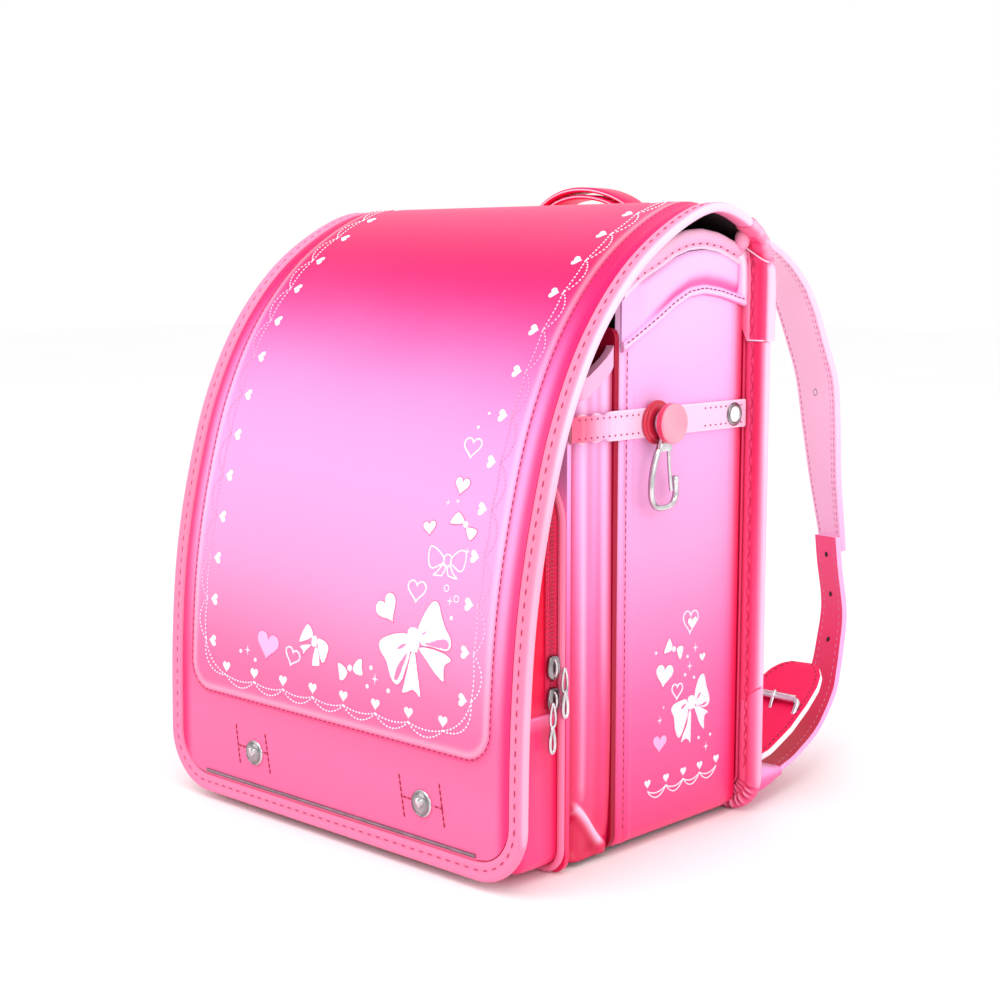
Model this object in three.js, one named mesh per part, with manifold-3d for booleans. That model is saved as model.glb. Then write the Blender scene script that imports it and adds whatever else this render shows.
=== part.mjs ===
// School ransel: a stiff leather case under a long domed flap, with a small compartment and a zipped
// pocket in front, a rolled rim round its back, and two shoulder straps with buckles behind.
// +X is the wearer's side with the visible hook, -Y is the front of the flap, +Z is up.
// The origin is the middle of the back rim's foot, on the surface that the case stands on. Shapes are
// drawn round the middle of the case, with the underside of its floor at zero. Millimetres.

import * as THREE from 'three';
import { mergeVertices } from 'three/addons/utils/BufferGeometryUtils.js';
import Module from 'manifold-3d';

const wasm = await Module();
wasm.setup();

// Driving dimensions of the case
const gap = 0.3;
const rimDrop = 3;
const caseWidth = 236;
const caseDepth = 96.8;
const sideHeight = 296;
const wall = 3;
const caseCorner = 8;
const partitionHeight = 250;
const sideBindingHeight = 10;
const sideBindingThickness = 4.4;
const capThickness = 1.2;
const capBead = 1;
const capRoll = 9;

// Driving dimensions of the back
const backThickness = 7.6;
const padRise = 3;
const padLength = 215;
const padStart = 16;
const padLobes = 2;
const rimWidth = 12.2;
const rimTop = 240.5;
const rimCorner = 20;
const rimGather = 1.4;
const rimGathers = 5;
const rimEase = 0.26;
const wrapWidth = 12;
const wrapHeight = 54;
const wrapThickness = 10.5;
const wrapClearance = 1;
const wrapSlack = 7;
const wrapMargin = 4;

// Driving dimensions of the flap
const flapWidth = 260;
const flapHeight = 309.2;
const flapReach = 126.6;
const flapThickness = 2.6;
const panelRise = 1.8;
const panelWidth = 222;
const panelCorner = 16;
const panelShoulder = 2.5;
const hemToPanel = 53;
const hemCorner = 30;
const bindingWidth = 9.5;
const bindingThickness = 4.8;
const bindingProud = 1;
const flapStep = 20;
const stripHeight = 1.8;
const stripThickness = 0.7;
const studRadius = 6.8;
const studHeight = 2.2;
const studSpread = 124;
const studLevel = 28;
const studOffset = 3;

// Driving dimensions of the small compartment and the pocket
const smallDepth = 30;
const gussetWall = 2.5;
const gussetBulge = 7;
const gussetInset = 1;
const gussetHeight = 242;
const gussetFall = 16;
const gussetBindingHeight = 9.5;
const gussetBindingExtra = 0.9;
const smallFrontThickness = 2.7;
const smallFrontHeight = 226;
const smallFrontCorner = 10;
const partitionCorner = 5;
const pocketWidth = 229;
const pocketHeight = 188;
const pocketDepth = 31;
const pocketWall = 2;
const pocketTopCorner = 26;
const pocketCorner = 9;
const pocketEase = 5;
const pipingDiameter = 3.6;
const zipperWidth = 8;
const zipperThickness = 1;
const zipperBack = 3.4;
const zipperEnd = 78;
const zipSliderWidth = 8;
const zipSliderLength = 11;
const zipSliderHeight = 3;
const lowerSliderRise = 4;
const sliderPitch = 15;
const pullLength = 21;
const pullWidth = 6;
const pullWire = 1.6;
const pullSwing = 4;
const lockSize = 24;
const lockLevel = 32;
const lockCorner = 4;

// Driving dimensions of the side fittings
const bandHeight = 14;
const bandLevel = 208;
const bandThickness = 2;
const knobForward = 24.5;
const knobBaseRadius = 10.5;
const knobBaseHeight = 3;
const knobRadius = 9.6;
const knobHeadThickness = 5;
const knobPostRadius = 3.6;
const knobEase = 1.2;
const hookThickness = 3.6;
const hookLength = 41;
const hookWidth = 21;
const hookWire = 3.2;
const hookEyeWall = 3;
const gateThickness = 2;
const runningGap = 0.35;
const postClearance = 0.1;
const eyeletRadius = 5.8;
const eyeletHeight = 1;
const eyeletBack = 37.9;

// Driving dimensions of the handle and the straps
const handleSpan = 92;
const handleTop = 323.5;
const handleFoot = 266;
const handleSpringing = 285;
const handleLean = 4.5;
const handleWidth = 17;
const handleFootWidth = 10;
const plyThickness = 2.6;
const plyGap = 1.2;
const plateWidth = 76;
const plateHeight = 24;
const plateThickness = 5;
const plateLevel = 262;
const plateCorner = 5;
const strapReach = 143;
const strapSplay = 107.4;
const strapHeight = 298;
const upperStrapWidth = 42;
const upperStrapThickness = 4;
const lowerStrapWidth = 26;
const lowerStrapThickness = 3;
const guardWidth = 46;
const guardThickness = 3.6;
const tabWidth = 30;
const tabThickness = 7;
const buckleWidth = 34;
const buckleLength = 20;
const buckleWire = 3.2;
const buckleCorner = 4;

// Places worked out from the sizes
const caseHalf = caseWidth / 2;
const caseBack = caseDepth / 2;
const caseFront = -caseBack;
const backInner = caseBack + gap;
const backOuter = backInner + backThickness;
const flapBack = backOuter + gap + flapThickness + panelRise;
const flapHalf = flapWidth / 2;
const sheetHalf = flapHalf - bindingWidth - gap;
const wrapInner = caseHalf + wrapClearance;
const wrapArc = wrapHeight + wrapSlack;
const partitionFront = caseFront - gap - wall;
const smallFrontBack = partitionFront - smallDepth;
const smallFrontFace = smallFrontBack - smallFrontThickness;
const pocketBack = smallFrontFace - gap;
const pocketHalf = pocketWidth / 2;
const zipperDepth = pocketBack - zipperBack - zipperWidth / 2;
const zipFace = pocketHalf + gap + zipperThickness + gap;
const pullFace = zipFace + zipSliderHeight + gap + pullWire / 2;
const lowerSlider = zipperEnd + lowerSliderRise;
const upperSlider = lowerSlider + sliderPitch;
const pocketFoot = pipingDiameter + gap - rimDrop;
const gussetRoot = caseHalf - gussetBulge - gussetInset;
const smallFloorHalf = gussetRoot - gussetWall - gap;
const fittingsInner = caseHalf + gap;
const bandOuter = fittingsInner + bandThickness;
const knobBaseOuter = bandOuter + gap + knobBaseHeight;
const hookMiddle = knobBaseOuter + runningGap + hookThickness / 2;
const knobLevel = bandLevel - rimDrop;
const knobHeadInner = hookMiddle + hookThickness / 2 + runningGap;

// Tables of sections and edges, in shares of the named sizes

// Crown line of the flap from its lower end on the back, over the top, to its hem on the front
const crownLine = [
  { side: 'back', out: 1, up: 0.779 },
  { side: 'back', out: 1, up: 0.86 },
  { side: 'back', out: 0.955, up: 0.916 },
  { side: 'back', out: 0.8, up: 0.956 },
  { side: 'back', out: 0.53, up: 0.986 },
  { side: 'back', out: 0.19, up: 1 },
  { side: 'front', out: 0.093, up: 0.98 },
  { side: 'front', out: 0.393, up: 0.9065 },
  { side: 'front', out: 0.6256, up: 0.8043 },
  { side: 'front', out: 0.788, up: 0.6818 },
  { side: 'front', out: 0.8926, up: 0.548 },
  { side: 'front', out: 0.962, up: 0.411 },
  { side: 'front', out: 0.995, up: 0.271 },
  { side: 'front', out: 1.006, up: 0.13 },
  { side: 'front', out: 1.006, up: 0.003 },
];

// Lower edge of the binding along the top of each side panel, and the wave under the cap
const sideTopLine = [
  { along: 0, top: 0.885, wave: 0.805 },
  { along: 0.06, top: 0.9, wave: 0.814 },
  { along: 0.16, top: 0.918, wave: 0.83 },
  { along: 0.28, top: 0.934, wave: 0.845 },
  { along: 0.4, top: 0.953, wave: 0.872 },
  { along: 0.52, top: 0.964, wave: 0.889 },
  { along: 0.64, top: 0.967, wave: 0.893 },
  { along: 0.78, top: 0.961, wave: 0.888 },
  { along: 0.92, top: 0.946, wave: 0.877 },
  { along: 1, top: 0.935, wave: 0.872 },
];

// Plan of the small gusset from the partition to the front wall
const gussetPlan = [
  { along: 0, bulge: 0.3, fall: 0 },
  { along: 0.12, bulge: 0.72, fall: 0.28 },
  { along: 0.35, bulge: 0.88, fall: 0.6 },
  { along: 0.6, bulge: 1, fall: 0.85 },
  { along: 0.8, bulge: 0.6, fall: 0.95 },
  { along: 1, bulge: 0.05, fall: 1 },
];

// Fullness of the small gusset up its height: pinched above the floor
const gussetRise = [
  { up: 0, full: 0.25 },
  { up: 0.03, full: 0.4 },
  { up: 0.08, full: 0.75 },
  { up: 0.16, full: 1 },
  { up: 0.5, full: 1.05 },
];

// Depth of the pocket up its height
const pocketLean = [
  { up: 0, depth: 0.94 },
  { up: 0.1, depth: 1 },
  { up: 0.5, depth: 0.98 },
  { up: 0.78, depth: 0.76 },
  { up: 0.93, depth: 0.54 },
  { up: 1, depth: 0.4 },
];

// Middle line of the rolled wrap at each top corner of the rim
const wrapLine = [
  { up: 0, back: 0.5, thick: 1 },
  { up: 0.35, back: 0.54, thick: 1.06 },
  { up: 0.66, back: 0.5, thick: 1 },
  { up: 0.87, back: 0.22, thick: 0.86 },
  { up: 1, back: -0.3, thick: 0.7 },
];

// Middle line of the upper shoulder strap, from its seat on the back
const upperStrapLine = [
  { splay: 0.19, reach: 0.064, up: 0.934, wide: 0.6, turn: 2 },
  { splay: 0.235, reach: 0.15, up: 0.968, wide: 0.74, turn: 4 },
  { splay: 0.31, reach: 0.36, up: 0.995, wide: 0.92, turn: 8 },
  { splay: 0.37, reach: 0.6, up: 0.988, wide: 1, turn: 14 },
  { splay: 0.42, reach: 0.78, up: 0.953, wide: 1, turn: 20 },
  { splay: 0.475, reach: 0.87, up: 0.905, wide: 1, turn: 23 },
  { splay: 0.52, reach: 0.905, up: 0.857, wide: 1, turn: 24 },
  { splay: 0.575, reach: 0.93, up: 0.785, wide: 1, turn: 25 },
  { splay: 0.625, reach: 0.95, up: 0.712, wide: 1, turn: 25 },
  { splay: 0.67, reach: 0.937, up: 0.628, wide: 0.93, turn: 26 },
  { splay: 0.715, reach: 0.925, up: 0.523, wide: 0.79, turn: 28 },
  { splay: 0.755, reach: 0.93, up: 0.425, wide: 0.67, turn: 29 },
  { splay: 0.765, reach: 0.936, up: 0.385, wide: 0.62, turn: 29 },
];

// Middle line of the lower strap, from under the upper one down to its tab
const lowerStrapLine = [
  { splay: 0.755, reach: 0.905, up: 0.412, turn: 29 },
  { splay: 0.77, reach: 0.907, up: 0.36, turn: 29 },
  { splay: 0.81, reach: 0.9, up: 0.275, turn: 30 },
  { splay: 0.848, reach: 0.833, up: 0.205, turn: 29 },
  { splay: 0.876, reach: 0.767, up: 0.157, turn: 28 },
  { splay: 0.9, reach: 0.7, up: 0.124, turn: 27 },
  { splay: 0.935, reach: 0.555, up: 0.08, turn: 27 },
  { splay: 0.97, reach: 0.36, up: 0.05, turn: 24 },
  { splay: 0.99, reach: 0.213, up: 0.038, turn: 12 },
];

// Outline of the leaf guard of the buckle, from its lower end to its tip
const guardLine = [
  { splay: 0.965, reach: 0.06, up: 0.0637, wide: 0.6 },
  { splay: 0.962, reach: 0.13, up: 0.08, wide: 0.86 },
  { splay: 0.957, reach: 0.24, up: 0.11, wide: 1 },
  { splay: 0.95, reach: 0.36, up: 0.142, wide: 1 },
  { splay: 0.942, reach: 0.46, up: 0.17, wide: 0.92 },
  { splay: 0.935, reach: 0.54, up: 0.19, wide: 0.7 },
  { splay: 0.93, reach: 0.585, up: 0.2, wide: 0.36 },
];

// Middle line of the tab that holds the lower strap
const tabLine = [
  { splay: 1, reach: 0.006, up: 0.034, thick: 1.8 },
  { splay: 1, reach: 0.08, up: 0.036, thick: 1.8 },
  { splay: 0.992, reach: 0.2, up: 0.038, thick: 1 },
];

const materials = {
  pearl: { color: 0xff8fd0, roughness: 0.3, metalness: 0.1 },
  hotPink: { color: 0xf52c72, roughness: 0.35, metalness: 0.05 },
  palePink: { color: 0xffa3c0, roughness: 0.4, metalness: 0 },
  lining: { color: 0x5c0a22, roughness: 0.8, metalness: 0 },
  strapPink: { color: 0xf7b9dc, roughness: 0.5, metalness: 0 },
  whitePink: { color: 0xfde6f2, roughness: 0.45, metalness: 0 },
  salmon: { color: 0xf06a86, roughness: 0.35, metalness: 0 },
  nickel: { color: 0xd8d8dc, roughness: 0.2, metalness: 1 },
  grey: { color: 0x8f8f94, roughness: 0.3, metalness: 0.2 },
};

const ransel = new THREE.Group();
ransel.name = 'school_ransel';
ransel.position.set(0, -(backInner + backOuter) / 2, rimDrop);

function put(name, geometry, finish) {
  const mesh = new THREE.Mesh(geometry, new THREE.MeshStandardMaterial(materials[finish]));
  mesh.name = name;
  ransel.add(mesh);
}

// A piece on the right side and its mirror image on the left
function putPair(name, geometry, finish) {
  put(`${name}_right`, geometry, finish);
  put(`${name}_left`, mirrored(geometry), finish);
}

function mirrored(geometry) {
  const copy = geometry.clone();
  const position = copy.getAttribute('position');
  for (let i = 0; i < position.count; i += 1) {
    position.setX(i, -position.getX(i));
  }
  const index = copy.getIndex().array;
  for (let i = 0; i < index.length; i += 3) {
    [index[i + 1], index[i + 2]] = [index[i + 2], index[i + 1]];
  }
  copy.computeVertexNormals();
  return copy;
}

function signedVolume(points, faces) {
  let sum = 0;
  for (const [a, b, c] of faces) {
    sum += points[a].dot(new THREE.Vector3().crossVectors(points[b], points[c]));
  }
  return sum / 6;
}

// A closed body through rings of points. Each ring runs up one side and back down the other, so an
// end is closed by strips between point k and its partner at the other end of the ring.
function loft(rings, joined = false) {
  const count = rings[0].length;
  const points = rings.flat();
  const faces = [];
  const last = joined ? rings.length : rings.length - 1;
  for (let i = 0; i < last; i += 1) {
    const next = (i + 1) % rings.length;
    for (let k = 0; k < count; k += 1) {
      const a = i * count + k;
      const b = i * count + ((k + 1) % count);
      const c = next * count + ((k + 1) % count);
      const d = next * count + k;
      faces.push([a, b, c], [a, c, d]);
    }
  }
  if (!joined) {
    const end = (rings.length - 1) * count;
    for (let k = 0; k < count / 2 - 1; k += 1) {
      const j = count - 1 - k;
      faces.push([k, j, j - 1], [k, j - 1, k + 1]);
      faces.push([end + k, end + k + 1, end + j - 1], [end + k, end + j - 1, end + j]);
    }
  }
  const turned = signedVolume(points, faces) < 0;
  const geometry = new THREE.BufferGeometry();
  geometry.setAttribute('position', new THREE.Float32BufferAttribute(points.flatMap((p) => p.toArray()), 3));
  geometry.setIndex(faces.flatMap(([a, b, c]) => (turned ? [a, c, b] : [a, b, c])));
  geometry.computeVertexNormals();
  return geometry;
}

function indexed(geometry) {
  const bare = geometry.clone();
  for (const name of Object.keys(bare.attributes)) {
    if (name !== 'position') {
      bare.deleteAttribute(name);
    }
  }
  return mergeVertices(bare, 1e-4);
}

function toSolid(geometry) {
  const bare = indexed(geometry);
  const vertProperties = new Float32Array(bare.getAttribute('position').array);
  const triVerts = new Uint32Array(bare.getIndex().array);
  return new wasm.Manifold(new wasm.Mesh({ numProp: 3, vertProperties, triVerts }));
}

function fromSolid(solid) {
  const mesh = solid.getMesh();
  const geometry = new THREE.BufferGeometry();
  geometry.setAttribute('position', new THREE.Float32BufferAttribute(mesh.vertProperties, 3));
  geometry.setIndex(Array.from(mesh.triVerts));
  geometry.computeVertexNormals();
  return geometry;
}

function vec(x, y, z) {
  return new THREE.Vector3(x, y, z);
}

function lerp(a, b, t) {
  return a + (b - a) * t;
}

// Value of a table's column at a place between its rows
function tableAt(table, key, place, column) {
  const next = table.findIndex((row) => row[key] >= place);
  if (next <= 0) {
    return table[next === 0 ? 0 : table.length - 1][column];
  }
  const low = table[next - 1];
  const high = table[next];
  return lerp(low[column], high[column], (place - low[key]) / (high[key] - low[key]));
}

// Arc in a plane as [across, up] pairs
function arc(centreAcross, centreUp, radius, fromDegrees, toDegrees, steps) {
  const list = [];
  for (let i = 0; i <= steps; i += 1) {
    const angle = THREE.MathUtils.degToRad(lerp(fromDegrees, toDegrees, i / steps));
    list.push([centreAcross + radius * Math.cos(angle), centreUp + radius * Math.sin(angle)]);
  }
  return list;
}

// Half outline, from the bottom up the right, of an upright plate with rounded corners
function plateHalf(half, bottom, top, lowCorner, topCorner, steps = 4) {
  return [
    ...arc(half - lowCorner, bottom + lowCorner, lowCorner, -90, 0, steps),
    ...arc(half - topCorner, top - topCorner, topCorner, 0, 90, steps),
  ];
}

// Ring of an outline that is the same left and right, at one depth or a depth for each point
function symmetricRing(halfOutline, depthAt) {
  const right = halfOutline.map(([x, z]) => vec(x, depthAt(x, z), z));
  const left = halfOutline.map(([x, z]) => vec(-x, depthAt(x, z), z)).reverse();
  return [...right, ...left];
}

function uprightPlate(halfOutline, back, front) {
  return loft([symmetricRing(halfOutline, () => back), symmetricRing(halfOutline, () => front)]);
}

// Flat strip cross-section with eased edges, as [across, through] pairs in strip order
function easedSection(width, thickness, ease = 0.3) {
  const w = width / 2;
  const t = thickness / 2;
  const e = thickness * ease;
  const upper = [[-w, t - e], [-w + e, t], [w - e, t], [w, t - e]];
  return [...upper, ...upper.map(([a, b]) => [a, -b]).reverse()];
}

// Round cross-section in strip order
function roundSection(radius, sides = 8) {
  const upper = arc(0, 0, radius, 180 - 180 / sides, 180 / sides, sides / 2 - 1);
  return [...upper, ...upper.map(([a, b]) => [a, -b]).reverse()];
}

function sectionRing(section, centre, across, through) {
  return section.map(([a, b]) => centre.clone().addScaledVector(across, a).addScaledVector(through, b));
}

// Arc-length lookup on the crown line of the flap
const crownCurve = new THREE.CatmullRomCurve3(
  crownLine.map(({ side, out, up }) => {
    return vec(0, side === 'back' ? out * flapBack : -out * flapReach, up * flapHeight);
  }),
  false,
  'centripetal',
);
crownCurve.arcLengthDivisions = 800;
const crownLength = crownCurve.getLength();

// Place on the flap at a distance from its end on the back, sunk below the crown along the normal
function crownAt(distance, sunk) {
  const share = THREE.MathUtils.clamp(distance / crownLength, 0, 1);
  const point = crownCurve.getPointAt(share);
  const run = crownCurve.getTangentAt(share);
  const out = vec(0, run.z, -run.y).normalize();
  return { point: point.addScaledVector(out, -sunk), run, out };
}

// Half width of a shape whose lower end has rounded corners
function roundedHalf(half, corner, toEnd) {
  if (toEnd >= corner) {
    return half;
  }
  const rest = corner - Math.max(toEnd, 0);
  return half - corner + Math.sqrt(Math.max(corner * corner - rest * rest, 0));
}

function evenSteps(from, to, step) {
  const count = Math.max(Math.round((to - from) / step), 1);
  return Array.from({ length: count + 1 }, (_, i) => lerp(from, to, i / count));
}

function flapSheet() {
  const sheetEnd = crownLength - bindingWidth - gap;
  const panelEnd = crownLength - hemToPanel;
  const sheetCorner = hemCorner - bindingWidth;
  const narrowEnd = wrapArc + wrapMargin;
  const rows = [
    ...evenSteps(0, narrowEnd, flapStep),
    ...evenSteps(narrowEnd + wrapClearance, panelEnd - panelCorner, flapStep),
    ...[0.65, 0.35, 0.15].map((share) => panelEnd - panelCorner * share),
    panelEnd - panelShoulder,
    panelEnd + panelShoulder / 2,
    ...[0, 0.5, 0.8, 1].map((share) => sheetEnd - sheetCorner * (1 - share)),
  ];
  const rings = rows.map((s) => {
    const full = s <= narrowEnd ? wrapInner - gap : sheetHalf;
    const half = roundedHalf(full, sheetCorner, sheetEnd - s);
    const panel = roundedHalf(panelWidth / 2, panelCorner, panelEnd - s);
    const raised = s < panelEnd;
    const columns = [
      { x: half, high: false },
      { x: Math.min(panel + panelShoulder / 2, half - gap), high: false },
      { x: panel - panelShoulder, high: raised },
      { x: panel / 2, high: raised },
    ];
    const upper = [...columns, ...columns.map(({ x, high }) => ({ x: -x, high })).reverse()];
    const top = upper.map(({ x, high }) => crownAt(s, high ? 0 : panelRise).point.setX(x));
    const low = upper.map(({ x }) => crownAt(s, panelRise + flapThickness).point.setX(x)).reverse();
    return [...top, ...low];
  });
  return loft(rings);
}

// Rounded outer edge and flat inner edge, as [outward, through] pairs in strip order
function bindingSection() {
  const w = bindingWidth / 2;
  const t = bindingThickness / 2;
  const upper = [[-w, t], [w - t, t], [w - t * 0.3, t * 0.7], [w, t * 0.2]];
  return [...upper, ...upper.map(([a, b]) => [a, -b]).reverse()];
}

function flapBinding() {
  const corner = hemCorner - bindingWidth / 2;
  const middle = flapHalf - bindingWidth / 2;
  const endRun = crownLength - bindingWidth / 2;
  const sunk = panelRise - bindingProud + bindingThickness / 2;
  const side = evenSteps(wrapArc, endRun - corner, flapStep).map((s) => ({ x: middle, s, turn: 0 }));
  const bend = [0.2, 0.4, 0.6, 0.8, 1].map((share) => {
    const turn = (share * Math.PI) / 2;
    return { x: middle - corner * (1 - Math.cos(turn)), s: endRun - corner * (1 - Math.sin(turn)), turn };
  });
  const right = [...side, ...bend];
  const left = right.map(({ x, s, turn }) => ({ x: -x, s, turn: Math.PI - turn })).reverse();
  const rings = [...right, ...left].map(({ x, s, turn }) => {
    const { point, run, out } = crownAt(s, sunk);
    const outward = vec(Math.cos(turn), 0, 0).addScaledVector(run, Math.sin(turn));
    return sectionRing(bindingSection(), point.setX(x), outward, out);
  });
  return loft(rings);
}

function reflectiveStrip() {
  const run = crownLength - bindingWidth - gap - stripHeight;
  const half = flapHalf - hemCorner;
  const { point, run: down, out } = crownAt(run, panelRise - gap - stripThickness / 2);
  const section = easedSection(stripHeight, stripThickness);
  return loft([half, -half].map((x) => sectionRing(section, point.clone().setX(x), down, out)));
}

// Domed round stud, turned to stand out of the flap's front
function heartStud(x) {
  const profile = [
    [0, 0], [studRadius, 0], [studRadius, studHeight * 0.45], [studRadius * 0.8, studHeight * 0.85],
    [studRadius * 0.4, studHeight], [0, studHeight],
  ].map(([radius, up]) => new THREE.Vector2(radius, up));
  const geometry = indexed(new THREE.LatheGeometry(profile, 16));
  const { point } = crownAt(crownLength - studLevel, panelRise - gap);
  geometry.rotateX(Math.PI);
  geometry.translate(x, point.y, point.z);
  return geometry;
}

// Depth of what rests against the flap's inner face at a level of its straight front
function flapInnerY(level) {
  return crownAt(crownLength - level, panelRise + flapThickness).point.y + gap;
}

function lockBlock() {
  const pocketFace = pocketFrontY(lockLevel) - gap;
  const flapFace = flapInnerY(lockLevel);
  const low = lockLevel - lockSize / 2;
  const section = plateHalf(lockSize / 2, low, low + lockSize, lockCorner, lockCorner, 2);
  return uprightPlate(section, pocketFace, flapFace);
}

// The side panel turns under at its foot and follows the curved top edge
function sidePanel() {
  const outerFoot = arc(caseHalf - caseCorner, caseCorner, caseCorner, -90, 0, 4);
  const innerFoot = arc(caseHalf - caseCorner, caseCorner, caseCorner - wall, 0, -90, 4);
  const rings = sideTopLine.map(({ along, top }) => {
    const y = lerp(caseFront, caseBack, along);
    const z = top * sideHeight - gap;
    const outer = [...outerFoot, [caseHalf, z]];
    const inner = [[caseHalf - wall, z], ...innerFoot];
    return [...outer, ...inner].map(([x, up]) => vec(x, y, up));
  });
  return loft(rings);
}

function sideTopBinding() {
  const across = vec(1, 0, 0);
  const rings = sideTopLine.map(({ along, top }) => {
    const y = lerp(caseFront, caseBack, along);
    const centre = vec(caseHalf - wall / 2, y, top * sideHeight + sideBindingHeight / 2);
    const section = easedSection(sideBindingHeight, sideBindingThickness);
    return sectionRing(section, centre, vec(0, 0, 1), across);
  });
  return loft(rings);
}

// Rolled lower edge of the cap
const capRollLine = [
  { up: 0, proud: 0 },
  { up: 0.22, proud: 1 },
  { up: 0.67, proud: 1 },
  { up: 1, proud: 0 },
];

// Upper reinforcement of the side with a rolled lower edge
function sideCap() {
  const rings = sideTopLine.map(({ along, top, wave }) => {
    const y = lerp(caseFront, caseBack, along);
    const foot = wave * sideHeight;
    const head = top * sideHeight - gap;
    const outer = fittingsInner + capThickness;
    const roll = capRollLine.map(({ up, proud }) => [outer + proud * capBead, foot + up * capRoll]);
    const face = [...roll, [outer, head]].reverse();
    const back = face.map(([, up]) => [fittingsInner, up]).reverse();
    return [...face, ...back].map(([x, up]) => vec(x, y, up));
  });
  return loft(rings);
}

function caseFloor() {
  const half = caseHalf - caseCorner - gap;
  const section = [[-half, 0], [half, 0], [half, wall], [-half, wall]];
  return loft([caseFront, caseBack].map((y) => section.map(([x, z]) => vec(x, y, z))));
}

function partitionWall() {
  const half = plateHalf(caseHalf - gap, 0, partitionHeight, caseCorner, partitionCorner);
  return uprightPlate(half, caseFront - gap, partitionFront);
}

// Fullness of the back's padding up its length
const padLine = [
  { up: 0.019, full: 0 },
  { up: 0.038, full: 0.7 },
  { up: 0.065, full: 1 },
  { up: 0.5, full: 1 },
  { up: 0.935, full: 1 },
  { up: 0.977, full: 0.7 },
  { up: 1, full: 0 },
];

// Padded back with two long soft lobes towards the wearer
function backPanel() {
  const half = caseHalf - gap;
  const low = rimWidth - rimDrop + gap;
  const columns = evenSteps(-1, 1, 0.125);
  const corner = rimCorner - rimWidth;
  const rows = [
    ...[0, 0.25, 0.6, 1].map((share) => ({ z: low + corner * share, full: 0 })),
    ...padLine.map(({ up, full }) => ({ z: padStart + up * padLength, full })),
    { z: rimTop + wrapHeight * 0.42, full: 0 },
  ];
  const rings = rows.map(({ z, full }) => {
    const reach = roundedHalf(half, corner, z - low);
    const outer = columns.map((share) => {
      const lobe = Math.abs(Math.sin((share * padLobes * Math.PI) / 2));
      const inside = Math.abs(share) < 1 ? Math.sqrt(lobe) : 0;
      return vec(share * reach, backOuter + padRise * full * inside, z);
    });
    const inner = columns.map((share) => vec(share * reach, backInner, z)).reverse();
    return [...outer, ...inner];
  });
  return loft(rings);
}

// Rolled rim round both sides and the foot of the back, with gathers round its corners
function backRim() {
  const middle = caseHalf + rimWidth / 2;
  const foot = rimWidth / 2 - rimDrop;
  const radius = rimCorner - rimWidth / 2;
  const side = evenSteps(rimTop, foot + radius, 52).map((z) => ({ x: middle, z, turn: 0, pinch: 0 }));
  const bend = evenSteps(0.1, 1, 0.1).map((share) => {
    const turn = (share * Math.PI) / 2;
    const pinch = Math.sin(share * rimGathers * Math.PI) ** 2;
    const x = middle - radius * (1 - Math.cos(turn));
    return { x, z: foot + radius * (1 - Math.sin(turn)), turn, pinch };
  });
  const right = [...side, ...bend];
  const left = right.map((row) => ({ ...row, x: -row.x, turn: Math.PI - row.turn })).reverse();
  const centre = (backInner + backOuter) / 2;
  const rings = [...right, ...left].map(({ x, z, turn, pinch }) => {
    const outward = vec(Math.cos(turn), 0, -Math.sin(turn));
    const section = easedSection(rimWidth, backThickness - pinch * rimGather, rimEase);
    return sectionRing(section, vec(x, centre, z), outward, vec(0, 1, 0));
  });
  return loft(rings);
}

// Thick rolled wrap where the rim meets the flap's binding
function topWrap() {
  const middle = wrapInner + wrapWidth / 2;
  const rise = wrapHeight - 1;
  const places = wrapLine.map(({ up, back }) => {
    return vec(middle, backInner + back * wrapThickness, rimTop + gap + up * rise);
  });
  const curve = new THREE.CatmullRomCurve3(places, false, 'centripetal');
  const rings = evenSteps(0, 1, 0.125).map((share) => {
    const thick = wrapThickness * tableAt(wrapLine, 'up', share, 'thick');
    const run = curve.getTangentAt(share);
    const level = share === 0 ? vec(0, 0, 1) : run;
    const out = vec(0, level.z, -level.y).normalize();
    return sectionRing(easedSection(wrapWidth, thick, 0.35), curve.getPointAt(share), vec(1, 0, 0), out);
  });
  return loft(rings);
}

// Height of the gusset's top edge at a place of its plan
function gussetTop(fall) {
  return gussetHeight - gussetFall * fall;
}

function gussetPoint(row, full, z) {
  return vec(gussetRoot + gussetBulge * row.bulge * full, lerp(partitionFront, smallFrontBack, row.along), z);
}

// A wall through the gusset's plan between two lists of levels, with a thickness each side of it
function gussetWallRings(levels, extra) {
  const rows = gussetPlan.map((row, i) => {
    const inset = i === 0 ? -gap : i === gussetPlan.length - 1 ? gap : 0;
    return { row, inset };
  });
  return levels.map(({ levelAt, full }) => {
    const outer = rows.map(({ row, inset }) => {
      const point = gussetPoint(row, full, levelAt(row));
      return point.add(vec(extra, inset, 0));
    });
    const inner = outer.map((point) => point.clone().add(vec(-gussetWall - 2 * extra, 0, 0))).reverse();
    return [...outer, ...inner];
  });
}

function smallGusset() {
  const below = gussetHeight - gussetFall - gussetBindingHeight;
  const levels = gussetRise.map(({ up, full }) => ({ levelAt: () => up * below, full }));
  const edge = { levelAt: (row) => gussetTop(row.fall) - gussetBindingHeight - gap, full: 0.95 };
  return loft(gussetWallRings([...levels, edge], 0));
}

function gussetBinding() {
  const low = { levelAt: (row) => gussetTop(row.fall) - gussetBindingHeight, full: 0.95 };
  const high = { levelAt: (row) => gussetTop(row.fall), full: 0.95 };
  return loft(gussetWallRings([low, high], gussetBindingExtra));
}

function smallFloor() {
  const y = [partitionFront - gap, smallFrontBack + gap];
  const low = [[-smallFloorHalf, 0], [smallFloorHalf, 0]];
  const section = [...low, ...low.map(([x]) => [x, gussetWall]).reverse()];
  return loft(y.map((depth) => section.map(([x, z]) => vec(x, depth, z))));
}

function smallFrontWall() {
  const half = plateHalf(caseHalf - gap, -rimDrop, smallFrontHeight, caseCorner, smallFrontCorner);
  return uprightPlate(half, smallFrontBack, smallFrontFace);
}

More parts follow.
